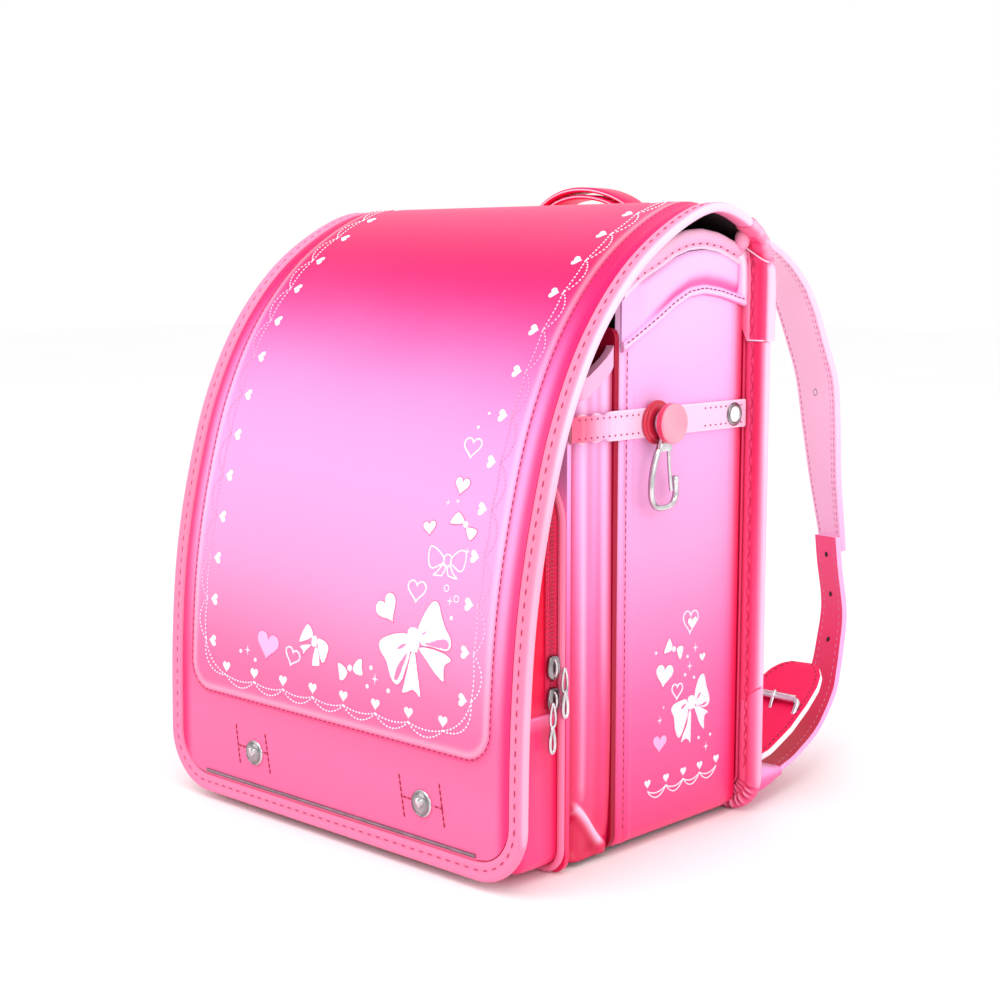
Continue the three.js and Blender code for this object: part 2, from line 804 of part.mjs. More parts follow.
// Front face of the pocket at a level
function pocketFrontY(level) {
  const share = THREE.MathUtils.clamp((level - pocketFoot) / (pocketHeight - pocketFoot), 0, 1);
  return pocketBack - pocketDepth * tableAt(pocketLean, 'up', share, 'depth');
}

// Half outline of the pocket, grown or shrunk all round, with levels for its lean
function pocketOutline(grow) {
  const low = arc(pocketHalf - pocketCorner, pocketFoot + pocketCorner, pocketCorner + grow, -90, 0, 3);
  const side = pocketHalf + grow;
  const levels = pocketLean.slice(2, 4).map(({ up }) => [side, lerp(pocketFoot, pocketHeight, up)]);
  const corner = pocketTopCorner + grow;
  const top = arc(side - corner, pocketHeight - pocketTopCorner, corner, 0, 90, 6);
  return [...low, ...levels, ...top];
}

// Zipped pocket, hollow and open only against the wall behind it
function pocketShell() {
  const depthAt = (share, back) => (x, z) => lerp(pocketBack, pocketFrontY(z) + back, share);
  const rings = [
    symmetricRing(pocketOutline(-pocketEase - pocketWall), depthAt(1, pocketWall)),
    symmetricRing(pocketOutline(-pocketWall), depthAt(0.84, pocketWall)),
    symmetricRing(pocketOutline(-pocketWall), depthAt(0, 0)),
    symmetricRing(pocketOutline(0), depthAt(0, 0)),
    symmetricRing(pocketOutline(0), depthAt(0.84, 0)),
    symmetricRing(pocketOutline(-pocketEase * 0.3), depthAt(0.95, 0)),
    symmetricRing(pocketOutline(-pocketEase), depthAt(1, 0)),
  ];
  return loft(rings);
}

// A strip or cord round the pocket's outline at one depth
function roundPocket(outline, depth, section, joined) {
  const right = outline.map(([x, z], i) => {
    const before = outline[Math.max(i - 1, 0)];
    const after = outline[Math.min(i + 1, outline.length - 1)];
    const run = vec(after[0] - before[0], 0, after[1] - before[1]).normalize();
    const level = i === 0 && joined ? vec(1, 0, 0) : run;
    const flat = i === outline.length - 1 ? vec(-1, 0, 0) : level;
    return { centre: vec(x, depth, z), out: vec(flat.z, 0, -flat.x) };
  });
  const left = right.map(({ centre, out }) => {
    return { centre: centre.clone().setX(-centre.x), out: out.clone().setX(-out.x) };
  }).reverse();
  const rings = [...right, ...left].map(({ centre, out }) => sectionRing(section, centre, vec(0, 1, 0), out));
  return loft(rings, joined);
}

function pocketPiping() {
  const grow = gap + pipingDiameter / 2;
  const radius = pipingDiameter / 2;
  return roundPocket(pocketOutline(grow), pocketBack - radius, roundSection(radius, 6), true);
}

function zipper() {
  const grow = gap + zipperThickness / 2;
  const above = pocketOutline(grow).filter(([, z]) => z > zipperEnd + zipSliderHeight);
  const outline = [[pocketHalf + grow, zipperEnd], ...above];
  return roundPocket(outline, zipperDepth, easedSection(zipperWidth, zipperThickness), false);
}

function zipSlider(level) {
  const half = [[-0.3, -1], [-1, -0.5], [-1, 0.5], [-0.6, 1]];
  const outline = [...half, ...half.map(([a, b]) => [-a, b]).reverse()];
  const w = zipSliderWidth / 2;
  const h = zipSliderLength / 2;
  const rings = [0, zipSliderHeight].map((out) => {
    return outline.map(([a, b]) => vec(zipFace + out, zipperDepth + a * w, level + b * h));
  });
  return loft(rings);
}

// A closed loop of wire through places in one plane, whose normal is given
function wireLoop(places, radius, normal, sides = 6) {
  const rings = places.map((place, i) => {
    const before = places[(i + places.length - 1) % places.length];
    const after = places[(i + 1) % places.length];
    const run = after.clone().sub(before).normalize();
    const side = new THREE.Vector3().crossVectors(run, normal).normalize();
    return sectionRing(roundSection(radius, sides), place, side, normal);
  });
  return loft(rings, true);
}

// Drop-shaped pull with an open middle, hanging beside its slider
function zipPull(level, forward) {
  const turns = evenSteps(0, 11 / 12, 1 / 12);
  const places = turns.map((turn) => {
    const angle = turn * Math.PI * 2;
    const fall = (1 - Math.cos(angle)) / 2;
    const half = pullWidth * 0.5 * Math.sin(angle) * (0.45 + 0.55 * fall);
    return vec(pullFace, zipperDepth + forward + half, level - fall * pullLength);
  });
  return wireLoop(places, pullWire / 2, vec(1, 0, 0));
}

// Band across the side that carries the knob
function sideBand() {
  const y = [caseBack - gap, smallFrontFace];
  const section = easedSection(bandHeight, bandThickness);
  const middle = fittingsInner + bandThickness / 2;
  const places = y.map((depth) => vec(middle, depth, knobLevel));
  return loft(places.map((place) => sectionRing(section, place, vec(0, 0, 1), vec(1, 0, 0))));
}

// Turned piece whose axis points out of the side
function turnedOnSide(profile, sides, inner, forward, level) {
  const geometry = indexed(new THREE.LatheGeometry(profile.map(([r, h]) => new THREE.Vector2(r, h)), sides));
  geometry.rotateZ(-Math.PI / 2);
  geometry.translate(inner, forward, level);
  return geometry;
}

function sideKnob() {
  const base = bandOuter + gap;
  const neck = knobBaseHeight;
  const head = knobHeadInner - base;
  const face = head + knobHeadThickness;
  const profile = [
    [0, 0], [knobBaseRadius, 0], [knobBaseRadius, neck - knobEase], [knobBaseRadius - knobEase, neck],
    [knobPostRadius, neck], [knobPostRadius, head], [knobRadius - knobEase, head],
    [knobRadius, head + knobEase], [knobRadius, face - knobEase], [knobRadius - knobEase, face], [0, face],
  ];
  return turnedOnSide(profile, 20, base, -knobForward, knobLevel);
}

function bandEyelet() {
  const profile = [
    [0, 0], [eyeletRadius, 0], [eyeletRadius, eyeletHeight * 0.5], [eyeletRadius * 0.85, eyeletHeight],
    [eyeletRadius * 0.6, eyeletHeight], [eyeletRadius * 0.55, eyeletHeight * 0.5], [0, eyeletHeight * 0.5],
  ];
  return turnedOnSide(profile, 14, bandOuter + gap, eyeletBack, knobLevel);
}

// Outline of the snap hook's wire, seen on the side panel: shares of its width and length
const hookWireLine = [
  { across: -0.05, down: 0.24 },
  { across: -0.24, down: 0.34 },
  { across: -0.42, down: 0.6 },
  { across: -0.42, down: 0.86 },
  { across: -0.26, down: 0.965 },
  { across: 0.26, down: 0.965 },
  { across: 0.42, down: 0.88 },
  { across: 0.42, down: 0.64 },
];

// Neck between the hook's eye and its wire
const hookNeckLine = [
  { down: 0.13, wide: 0.29 },
  { down: 0.2, wide: 0.33 },
  { down: 0.29, wide: 0.48 },
];

function hookPlace({ across, down }) {
  return vec(hookMiddle, -knobForward + across * hookWidth, knobLevel - down * hookLength);
}

// A wire through a list of places in the hook's plane
function wireInPlane(places, radius) {
  const section = roundSection(radius, 8);
  const rings = places.map((place, i) => {
    const before = places[Math.max(i - 1, 0)];
    const after = places[Math.min(i + 1, places.length - 1)];
    const run = after.clone().sub(place).normalize();
    const come = place.clone().sub(before).normalize();
    const tangent = run.add(come).normalize();
    const across = vec(0, tangent.z, -tangent.y);
    return sectionRing(section, place, across, vec(1, 0, 0));
  });
  return loft(rings);
}

// Eye round the knob's post, a tapered neck, and the bent wire with its open side
function snapHook() {
  const inner = knobPostRadius + postClearance;
  const outer = inner + hookEyeWall;
  const half = hookThickness / 2;
  const eyeProfile = [[inner, -half], [outer, -half], [outer, half], [inner, half], [inner, -half]];
  const eye = turnedOnSide(eyeProfile, 16, hookMiddle, -knobForward, knobLevel);
  const neck = loft(hookNeckLine.map(({ down, wide }) => {
    const section = easedSection(wide * hookWidth, hookThickness * 0.9, 0.2);
    return sectionRing(section, hookPlace({ across: 0, down }), vec(0, 1, 0), vec(1, 0, 0));
  }));
  const wire = wireInPlane(hookWireLine.map(hookPlace), hookWire / 2);
  return fromSolid(toSolid(eye).add(toSolid(neck)).add(toSolid(wire)));
}

const gatePivot = { across: 0.16, down: 0.303 };
const gateTip = { across: 0.27, down: 0.8 };

// Sprung gate that closes the hook, hung below the neck
function hookGate() {
  const places = [gatePivot, { across: 0.19, down: 0.5 }, gateTip].map(hookPlace);
  return wireInPlane(places, gateThickness / 2);
}

// Arched carrying handle: one ply, at a distance below the top one
function handlePly(below) {
  const halfSpan = handleSpan / 2 - below;
  const rise = handleTop - rimDrop - plyThickness / 2 - below - handleSpringing;
  const behind = flapBack + gap;
  const arch = arc(0, 0, 1, 0, 180, 12).map(([x, up]) => {
    return { x: x * halfSpan, z: handleSpringing + up * rise, lift: up };
  });
  const foot = { x: halfSpan, z: handleFoot, lift: -0.2 };
  const rows = [foot, ...arch, { ...foot, x: -halfSpan }];
  const rings = rows.map(({ x, z, lift }, i) => {
    const before = rows[Math.max(i - 1, 0)];
    const after = rows[Math.min(i + 1, rows.length - 1)];
    const run = vec(after.x - before.x, 0, after.z - before.z).normalize();
    const width = lerp(handleFootWidth, handleWidth, Math.max(lift, 0));
    const forward = handleLean * Math.max(lift, 0) ** 4;
    const centre = vec(x, behind + width / 2 - forward, z);
    return sectionRing(easedSection(width, plyThickness, 0.25), centre, vec(0, 1, 0), vec(run.z, 0, -run.x));
  });
  return loft(rings);
}

function strapPlate() {
  const low = plateLevel - plateHeight / 2;
  const half = plateHalf(plateWidth / 2, low, low + plateHeight, plateCorner, plateCorner, 2);
  return uprightPlate(half, flapBack + gap, flapBack + gap + plateThickness);
}

// Row of a strap table as a place with the directions across and through the strap
function strapPlace(row) {
  const turn = THREE.MathUtils.degToRad(row.turn ?? 0);
  const place = vec(row.splay * strapSplay, backOuter + row.reach * strapReach, row.up * strapHeight);
  return { place, across: vec(Math.cos(turn), -Math.sin(turn), 0) };
}

// A flat strap through the rows of a table, with its width and thickness at each row
function strapBody(rows, widthOf, thicknessOf) {
  const middle = rows.map((row) => strapPlace(row).place);
  const rings = rows.map((row, i) => {
    const { place, across } = strapPlace(row);
    const before = middle[Math.max(i - 1, 0)];
    const after = middle[Math.min(i + 1, middle.length - 1)];
    const run = after.clone().sub(before).normalize();
    const through = new THREE.Vector3().crossVectors(run, across).normalize();
    const level = new THREE.Vector3().crossVectors(through, run).normalize();
    return sectionRing(easedSection(widthOf(row), thicknessOf(row)), place, level, through);
  });
  return loft(rings);
}

function shoulderStrap() {
  return strapBody(upperStrapLine, (row) => upperStrapWidth * row.wide, () => upperStrapThickness);
}

function lowerStrap() {
  return strapBody(lowerStrapLine, () => lowerStrapWidth, () => lowerStrapThickness);
}

function buckleGuard() {
  return strapBody(guardLine, (row) => guardWidth * row.wide, () => guardThickness);
}

function strapTab() {
  return strapBody(tabLine, () => tabWidth, (row) => tabThickness * row.thick);
}

// Rectangular wire frame lying on the guard
function buckleFrame() {
  const rows = [guardLine[2], guardLine[3]].map((row) => strapPlace(row).place);
  const run = rows[1].clone().sub(rows[0]).normalize();
  const across = vec(1, 0, 0);
  const out = new THREE.Vector3().crossVectors(across, run).normalize();
  const lift = guardThickness / 2 + gap + buckleWire / 2;
  const centre = rows[0].clone().lerp(rows[1], 0.6).addScaledVector(out, lift);
  const corners = [[1, 1, 0], [-1, 1, 90], [-1, -1, 180], [1, -1, 270]];
  const places = corners.flatMap(([sx, sy, from]) => {
    const a = sx * (buckleWidth / 2 - buckleCorner);
    const b = sy * (buckleLength / 2 - buckleCorner);
    return arc(a, b, buckleCorner - buckleWire / 2, from, from + 90, 3);
  });
  const loop = places.map(([a, b]) => centre.clone().addScaledVector(across, a).addScaledVector(run, b));
  return wireLoop(loop, buckleWire / 2, out);
}

// The case
put('case_floor', caseFloor(), 'hotPink');
putPair('side_panel', sidePanel(), 'pearl');
putPair('side_top_binding', sideTopBinding(), 'palePink');
putPair('side_cap', sideCap(), 'pearl');
put('partition_wall', partitionWall(), 'hotPink');
put('back_panel', backPanel(), 'strapPink');
put('back_rim', backRim(), 'hotPink');
putPair('top_wrap', topWrap(), 'palePink');

// The small compartment and the pocket
putPair('small_gusset', smallGusset(), 'pearl');
putPair('gusset_binding', gussetBinding(), 'palePink');
put('small_floor', smallFloor(), 'hotPink');
put('small_front_wall', smallFrontWall(), 'hotPink');
put('pocket_shell', pocketShell(), 'hotPink');
put('pocket_piping', pocketPiping(), 'palePink');
put('zipper', zipper(), 'hotPink');
put('zip_slider_upper', zipSlider(upperSlider), 'nickel');
put('zip_slider_lower', zipSlider(lowerSlider), 'nickel');
put('zip_pull_upper', zipPull(upperSlider, pullSwing), 'nickel');
put('zip_pull_lower', zipPull(lowerSlider, -pullSwing), 'nickel');

// The flap
put('flap', flapSheet(), 'pearl');
put('flap_binding', flapBinding(), 'palePink');
put('reflective_strip', reflectiveStrip(), 'grey');
put('heart_stud_right', heartStud(studSpread / 2 + studOffset), 'nickel');
put('heart_stud_left', heartStud(-studSpread / 2 + studOffset), 'nickel');
put('lock_block', lockBlock(), 'nickel');

// The side fittings
putPair('side_band', sideBand(), 'palePink');
putPair('side_knob', sideKnob(), 'salmon');
putPair('snap_hook', snapHook(), 'nickel');
putPair('hook_gate', hookGate(), 'nickel');
putPair('band_eyelet', bandEyelet(), 'nickel');

// The handle and the straps
put('handle', handlePly(0), 'hotPink');
put('handle_inner_ply', handlePly(plyThickness + plyGap), 'hotPink');
put('strap_plate', strapPlate(), 'nickel');
putPair('shoulder_strap', shoulderStrap(), 'strapPink');
putPair('lower_strap', lowerStrap(), 'hotPink');
putPair('buckle_guard', buckleGuard(), 'hotPink');
putPair('strap_tab', strapTab(), 'hotPink');
putPair('buckle_frame', buckleFrame(), 'nickel');

export default ransel;
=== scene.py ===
# School ransel: the looks of the stiff leather case, its domed flap, pockets, fittings and straps.
# Sizes are typed in millimetres from the middle of the case; at() turns them into row-frame metres.

import math
import bpy
import bmesh
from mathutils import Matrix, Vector
from mathutils.geometry import delaunay_2d_cdt


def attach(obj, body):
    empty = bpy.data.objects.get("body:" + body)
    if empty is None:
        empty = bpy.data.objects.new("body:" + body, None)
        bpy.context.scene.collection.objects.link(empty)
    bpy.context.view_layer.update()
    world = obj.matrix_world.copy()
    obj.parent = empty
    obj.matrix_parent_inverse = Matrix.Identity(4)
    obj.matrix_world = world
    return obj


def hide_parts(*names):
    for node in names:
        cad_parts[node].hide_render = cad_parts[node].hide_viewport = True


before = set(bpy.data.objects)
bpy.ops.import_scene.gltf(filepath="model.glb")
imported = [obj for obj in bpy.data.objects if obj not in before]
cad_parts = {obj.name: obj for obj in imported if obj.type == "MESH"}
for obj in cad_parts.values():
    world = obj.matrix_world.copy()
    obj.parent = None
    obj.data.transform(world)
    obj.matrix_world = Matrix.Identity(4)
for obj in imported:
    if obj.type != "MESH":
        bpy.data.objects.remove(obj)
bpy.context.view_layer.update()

MM = 0.001
ROW_SHIFT = Vector((0.0, -52.5, 3.0))
CASE = "case"


# Places and lines

def at(x, y, z):
    return (Vector((x, y, z)) + ROW_SHIFT) * MM


def lerp(a, b, t):
    return a + (b - a) * t


def ease(t):
    t = min(max(t, 0.0), 1.0)
    return t * t * (3 - 2 * t)


def bump(distance, width):
    return math.exp(-(distance / width) ** 2)


def steps(start, end, step):
    count = max(1, round(abs(end - start) / step))
    return [lerp(start, end, i / count) for i in range(count + 1)]


def smooth_line(points, per=12):
    """Centripetal curve through points, as a list of points."""
    points = [Vector(p) for p in points]
    ends = [points[0] * 2 - points[1], *points, points[-1] * 2 - points[-2]]
    line = []
    for i in range(1, len(ends) - 2):
        p0, p1, p2, p3 = ends[i - 1:i + 3]
        knots = [0.0]
        for a, b in ((p0, p1), (p1, p2), (p2, p3)):
            knots.append(knots[-1] + max((b - a).length ** 0.5, 1e-6))
        t0, t1, t2, t3 = knots
        for k in range(per):
            t = lerp(t1, t2, k / per)
            a1 = p0.lerp(p1, (t - t0) / (t1 - t0))
            a2 = p1.lerp(p2, (t - t1) / (t2 - t1))
            a3 = p2.lerp(p3, (t - t2) / (t3 - t2))
            b1 = a1.lerp(a2, (t - t0) / (t2 - t0))
            b2 = a2.lerp(a3, (t - t1) / (t3 - t1))
            line.append(b1.lerp(b2, (t - t1) / (t2 - t1)))
    line.append(points[-1].copy())
    return line


def even_line(line, step):
    """The same line with points about a step apart."""
    lengths = [0.0]
    for a, b in zip(line, line[1:]):
        lengths.append(lengths[-1] + (b - a).length)
    places, i = [], 0
    for want in steps(0, lengths[-1], step):
        while i < len(line) - 2 and lengths[i + 1] < want:
            i += 1
        span = max(lengths[i + 1] - lengths[i], 1e-9)
        places.append(line[i].lerp(line[i + 1], min(max((want - lengths[i]) / span, 0), 1)))
    return places


def table(rows, place, column=1):
    """Value of a column at a place between the rows of a table sorted by their first column."""
    if place <= rows[0][0]:
        return rows[0][column]
    for low, high in zip(rows, rows[1:]):
        if place <= high[0]:
            return lerp(low[column], high[column], (place - low[0]) / (high[0] - low[0]))
    return rows[-1][column]


# Meshes

def to_object(name, mesh, materials, body=CASE, sharp=35.0):
    for material in materials:
        mesh.materials.append(material)
    mesh.shade_smooth()
    mesh.set_sharp_from_angle(angle=math.radians(sharp))
    piece = bpy.data.objects.new(name, mesh)
    bpy.context.scene.collection.objects.link(piece)
    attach(piece, body)
    return piece


def paint(piece, label, share):
    """How deep or bright a piece is coloured at each place, from 0 to 1, in millimetres of the case; on most pieces
    this is painted shade and painted highlight.
    """
    values = piece.data.attributes.new(label, "FLOAT", "POINT")
    spots = [v.co / MM - ROW_SHIFT for v in piece.data.vertices]
    values.data.foreach_set("value", [min(max(share(abs(p.x), p.y, p.z), 0.0), 1.0) for p in spots])


def build(name, shapes, materials, body=CASE, sharp=35.0, slot=None, replaces=(), **tints):
    """One piece from shapes, each a list of points in metres, a list of faces and a material number or list."""
    points, faces, finishes = [], [], []
    for shape_points, shape_faces, finish in shapes:
        start = len(points)
        points += shape_points
        faces += [tuple(start + i for i in face) for face in shape_faces]
        finishes += finish if isinstance(finish, list) else [finish] * len(shape_faces)
    mesh = bpy.data.meshes.new(name)
    mesh.from_pydata(points, [], faces)
    mesh.polygons.foreach_set("material_index", finishes)
    form = bmesh.new()
    form.from_mesh(mesh)
    bmesh.ops.remove_doubles(form, verts=form.verts, dist=1e-7)
    bmesh.ops.recalc_face_normals(form, faces=form.faces)
    form.to_mesh(mesh)
    form.free()
    piece = to_object(name, mesh, materials, body, sharp)
    for label, share in tints.items():
        paint(piece, label, share)
    if replaces:
        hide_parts(*replaces)
    return piece


def loft(rings, joined=False, finish=0):
    """Closed shape through rings of points; finish is a material number, or one for each point of a ring."""
    count = len(rings[0])
    points = [p for ring in rings for p in ring]
    faces, finishes = [], []
    last = len(rings) if joined else len(rings) - 1
    for i in range(last):
        j = (i + 1) % len(rings)
        for k in range(count):
            n = (k + 1) % count
            faces.append((i * count + k, i * count + n, j * count + n, j * count + k))
            finishes.append(finish[k] if isinstance(finish, list) else finish)
    if not joined:
        end = (len(rings) - 1) * count
        first = finish[0] if isinstance(finish, list) else finish
        faces += [tuple(range(count))[::-1], tuple(range(end, end + count))]
        finishes += [first, first]
    return points, faces, finishes


def mirrored(shape):
    """The same shape on the other side of the bag."""
    points, faces, finish = shape
    return [Vector((-p.x, p.y, p.z)) for p in points], [face[::-1] for face in faces], finish


def section_ring(section, centre, across, through):
    """Ring in metres from a section in millimetres round a centre in millimetres."""
    return [at(*(centre + across * a + through * b)) for a, b in section]


def rounded_section(width, thickness, corner, per=3):
    w, t = width / 2 - corner, thickness / 2 - corner
    ring = []
    for cx, cy, start in ((w, t, 0), (-w, t, 90), (-w, -t, 180), (w, -t, 270)):
        for i in range(per + 1):
            angle = math.radians(start + 90 * i / per)
            ring.append((cx + corner * math.cos(angle), cy + corner * math.sin(angle)))
    return ring


def round_section(radius, sides=10):
    return [(radius * math.cos(2 * math.pi * i / sides), radius * math.sin(2 * math.pi * i / sides))
            for i in range(sides)]


def turned(profile, centre, axis, sides=40, finish=0):
    """Solid of revolution in metres: profile rows are radius and height, in millimetres along the axis."""
    axis = Vector(axis).normalized()
    first = axis.orthogonal().normalized()
    second = axis.cross(first)
    rings = []
    for radius, height in profile:
        rings.append([at(*(Vector(centre) + axis * height
                           + first * radius * math.cos(2 * math.pi * i / sides)
                           + second * radius * math.sin(2 * math.pi * i / sides))) for i in range(sides)])
    return loft(rings, finish=finish)


def wire(line, radius, joined=False, sides=10, normal=None, finish=0):
    """Round wire in metres along a line in millimetres."""
    rings = []
    for i, place in enumerate(line):
        if joined:
            run = line[(i + 1) % len(line)] - line[i - 1]
        else:
            run = line[min(i + 1, len(line) - 1)] - line[max(i - 1, 0)]
        run.normalize()
        side = run.cross(normal if normal else Vector((0.0, 0.0, 1.0)) if abs(run.z) < 0.9
                         else Vector((1.0, 0.0, 0.0))).normalized()
        rings.append(section_ring(round_section(radius, sides), place, side, side.cross(run).normalized()))
    return loft(rings, joined, finish)


# Stitching: one small tree of geometry nodes sets a bead of thread on every point of a row

def stitching_tree():
    tree = bpy.data.node_groups.new("stitching", "GeometryNodeTree")
    tree.is_modifier = True
    tree.interface.new_socket("Geometry", in_out="OUTPUT", socket_type="NodeSocketGeometry")
    tree.interface.new_socket("Geometry", in_out="INPUT", socket_type="NodeSocketGeometry")
    keys = {}
    for label, kind in (("Length", "Float"), ("Width", "Float"), ("Height", "Float"), ("Wander", "Float"),
                        ("Seed", "Int"), ("Thread", "Material")):
        socket = tree.interface.new_socket(label, in_out="INPUT", socket_type="NodeSocket" + kind)
        keys[label] = socket.identifier
    nodes, links = tree.nodes, tree.links
    given, made = nodes.new("NodeGroupInput"), nodes.new("NodeGroupOutput")
    size = nodes.new("ShaderNodeCombineXYZ")
    for axis, label in (("X", "Length"), ("Y", "Width"), ("Z", "Height")):
        links.new(given.outputs[label], size.inputs[axis])
    bead = nodes.new("GeometryNodeMeshUVSphere")
    bead.inputs["Segments"].default_value = 8
    bead.inputs["Rings"].default_value = 5
    bead.inputs["Radius"].default_value = 0.5
    scaled = nodes.new("GeometryNodeTransform")
    links.new(bead.outputs["Mesh"], scaled.inputs["Geometry"])
    links.new(size.outputs[0], scaled.inputs["Scale"])
    turn = nodes.new("FunctionNodeAxesToRotation")
    turn.primary_axis, turn.secondary_axis = "X", "Z"
    for label, socket in (("run", "Primary Axis"), ("up", "Secondary Axis")):
        named = nodes.new("GeometryNodeInputNamedAttribute")
        named.data_type = "FLOAT_VECTOR"
        named.inputs["Name"].default_value = label
        links.new(named.outputs["Attribute"], turn.inputs[socket])
    wander = nodes.new("FunctionNodeRandomValue")
    wander.data_type = "FLOAT"
    less = nodes.new("ShaderNodeMath")
    less.operation = "MULTIPLY"
    less.inputs[1].default_value = -1.0
    links.new(given.outputs["Wander"], less.inputs[0])
    links.new(less.outputs[0], wander.inputs[2])
    links.new(given.outputs["Wander"], wander.inputs[3])
    links.new(given.outputs["Seed"], wander.inputs["Seed"])
    twist = nodes.new("FunctionNodeAxisAngleToRotation")
    links.new(wander.outputs[1], twist.inputs["Angle"])
    turned_bead = nodes.new("FunctionNodeRotateRotation")
    turned_bead.rotation_space = "LOCAL"
    links.new(turn.outputs[0], turned_bead.inputs["Rotation"])
    links.new(twist.outputs[0], turned_bead.inputs["Rotate By"])
    set_on = nodes.new("GeometryNodeInstanceOnPoints")
    links.new(given.outputs["Geometry"], set_on.inputs["Points"])
    links.new(scaled.outputs[0], set_on.inputs["Instance"])
    links.new(turned_bead.outputs[0], set_on.inputs["Rotation"])
    real = nodes.new("GeometryNodeRealizeInstances")
    links.new(set_on.outputs[0], real.inputs[0])
    smooth = nodes.new("GeometryNodeSetShadeSmooth")
    links.new(real.outputs[0], smooth.inputs["Geometry"])
    dyed = nodes.new("GeometryNodeSetMaterial")
    links.new(smooth.outputs[0], dyed.inputs["Geometry"])
    links.new(given.outputs["Thread"], dyed.inputs["Material"])
    links.new(dyed.outputs[0], made.inputs[0])
    return tree, keys


stitching, stitching_keys = stitching_tree()


def sew(name, rows, length, width, height, finish, body=CASE, wander=0.0, seed=3):
    """Beads of thread, in millimetres, on rows of place, way along and way out."""
    mesh = bpy.data.meshes.new(name)
    mesh.from_pydata([row[0] for row in rows], [], [])
    for number, label in ((1, "run"), (2, "up")):
        values = mesh.attributes.new(label, "FLOAT_VECTOR", "POINT")
        values.data.foreach_set("vector", [v for row in rows for v in row[number]])
    points = bpy.data.objects.new(name, mesh)
    bpy.context.scene.collection.objects.link(points)
    modifier = points.modifiers.new("stitching", "NODES")
    modifier.node_group = stitching
    sizes = {"Length": length * MM, "Width": width * MM, "Height": height * MM, "Wander": wander, "Seed": seed,
             "Thread": finish}
    for label, value in sizes.items():
        modifier[stitching_keys[label]] = value
    bpy.context.view_layer.update()
    made = bpy.data.meshes.new_from_object(points.evaluated_get(bpy.context.evaluated_depsgraph_get()))
    bpy.data.objects.remove(points)
    made.name = name
    piece = bpy.data.objects.new(name, made)
    bpy.context.scene.collection.objects.link(piece)
    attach(piece, body)
    return piece


def rows_along(points, outs, pitch, begin=0.5):
    """Rows for sew, a pitch apart in millimetres, along points in metres with their ways out."""
    rows, walked, want = [], 0.0, begin * pitch * MM
    for i in range(len(points) - 1):
        span = points[i + 1] - points[i]
        length = span.length
        while length > 1e-9 and want <= walked + length:
            share = (want - walked) / length
            rows.append((points[i] + span * share, span.normalized(), outs[i].lerp(outs[i + 1], share).normalized()))
            want += pitch * MM
        walked += length
    return rows


def laid(place, path, lift=0.1):
    """Points and ways out of a flat path, laid on a surface."""
    points = [place(u, v, lift) for u, v in path]
    outs = [(place(u, v, lift + 1) - point).normalized() for (u, v), point in zip(path, points)]
    return points, outs


def sewn_path(place, path, pitch, lift=0.1, begin=0.5, fine=1.0):
    dense = even_line([Vector((u, v, 0)) for u, v in path], fine)
    return rows_along(*laid(place, [(p.x, p.y) for p in dense], lift), pitch, begin)


def mirrored_rows(rows):
    flip = lambda v: Vector((-v.x, v.y, v.z))
    return [(flip(point), flip(run), flip(up)) for point, run, up in rows]


def both_sides(rows):
    return rows + mirrored_rows(rows)


# Embroidery: puffed satin patches, raised outlines and dots

def smooth_loop(points, per=4):
    loop = []
    count = len(points)
    for i in range(count):
        p0, p1, p2, p3 = (Vector(points[(i + k) % count]) for k in (-1, 0, 1, 2))
        for k in range(per):
            t = k / per
            loop.append(((p1 * 2) + (p2 - p0) * t + (p0 * 2 - p1 * 5 + p2 * 4 - p3) * t * t
                         + (p1 * 3 - p0 - p2 * 3 + p3) * t ** 3) * 0.5)
    return [(p.x, p.y) for p in loop]


def heart(x, y, width, height, tilt=0.0, count=28):
    turn = math.radians(tilt)
    loop = []
    for i in range(count):
        t = 2 * math.pi * i / count
        a = math.sin(t) ** 3 * width / 2
        b = (13 * math.cos(t) - 5 * math.cos(2 * t) - 2 * math.cos(3 * t) - math.cos(4 * t) + 2.5) / 29 * height
        loop.append((x + a * math.cos(turn) - b * math.sin(turn), y + a * math.sin(turn) + b * math.cos(turn)))
    return loop


def sparkle(x, y, radius):
    loop = []
    for i in range(8):
        reach = radius if i % 2 == 0 else radius * 0.22
        loop.append((x + reach * math.sin(math.pi * i / 4) * 0.8, y + reach * math.cos(math.pi * i / 4)))
    return loop


def disc(x, y, radius, count=10):
    return [(x + radius * math.cos(2 * math.pi * i / count), y + radius * math.sin(2 * math.pi * i / count))
            for i in range(count)]


def edge_distance(u, v, loop):
    """Distance to a loop, negative outside it."""
    nearest, inside = 1e9, False
    for (ax, ay), (bx, by) in zip(loop, loop[1:] + loop[:1]):
        dx, dy = bx - ax, by - ay
        t = min(max(((u - ax) * dx + (v - ay) * dy) / max(dx * dx + dy * dy, 1e-12), 0), 1)
        nearest = min(nearest, math.hypot(u - ax - dx * t, v - ay - dy * t))
        if (ay > v) != (by > v) and u < ax + (v - ay) / (by - ay) * dx:
            inside = not inside
    return nearest if inside else -nearest


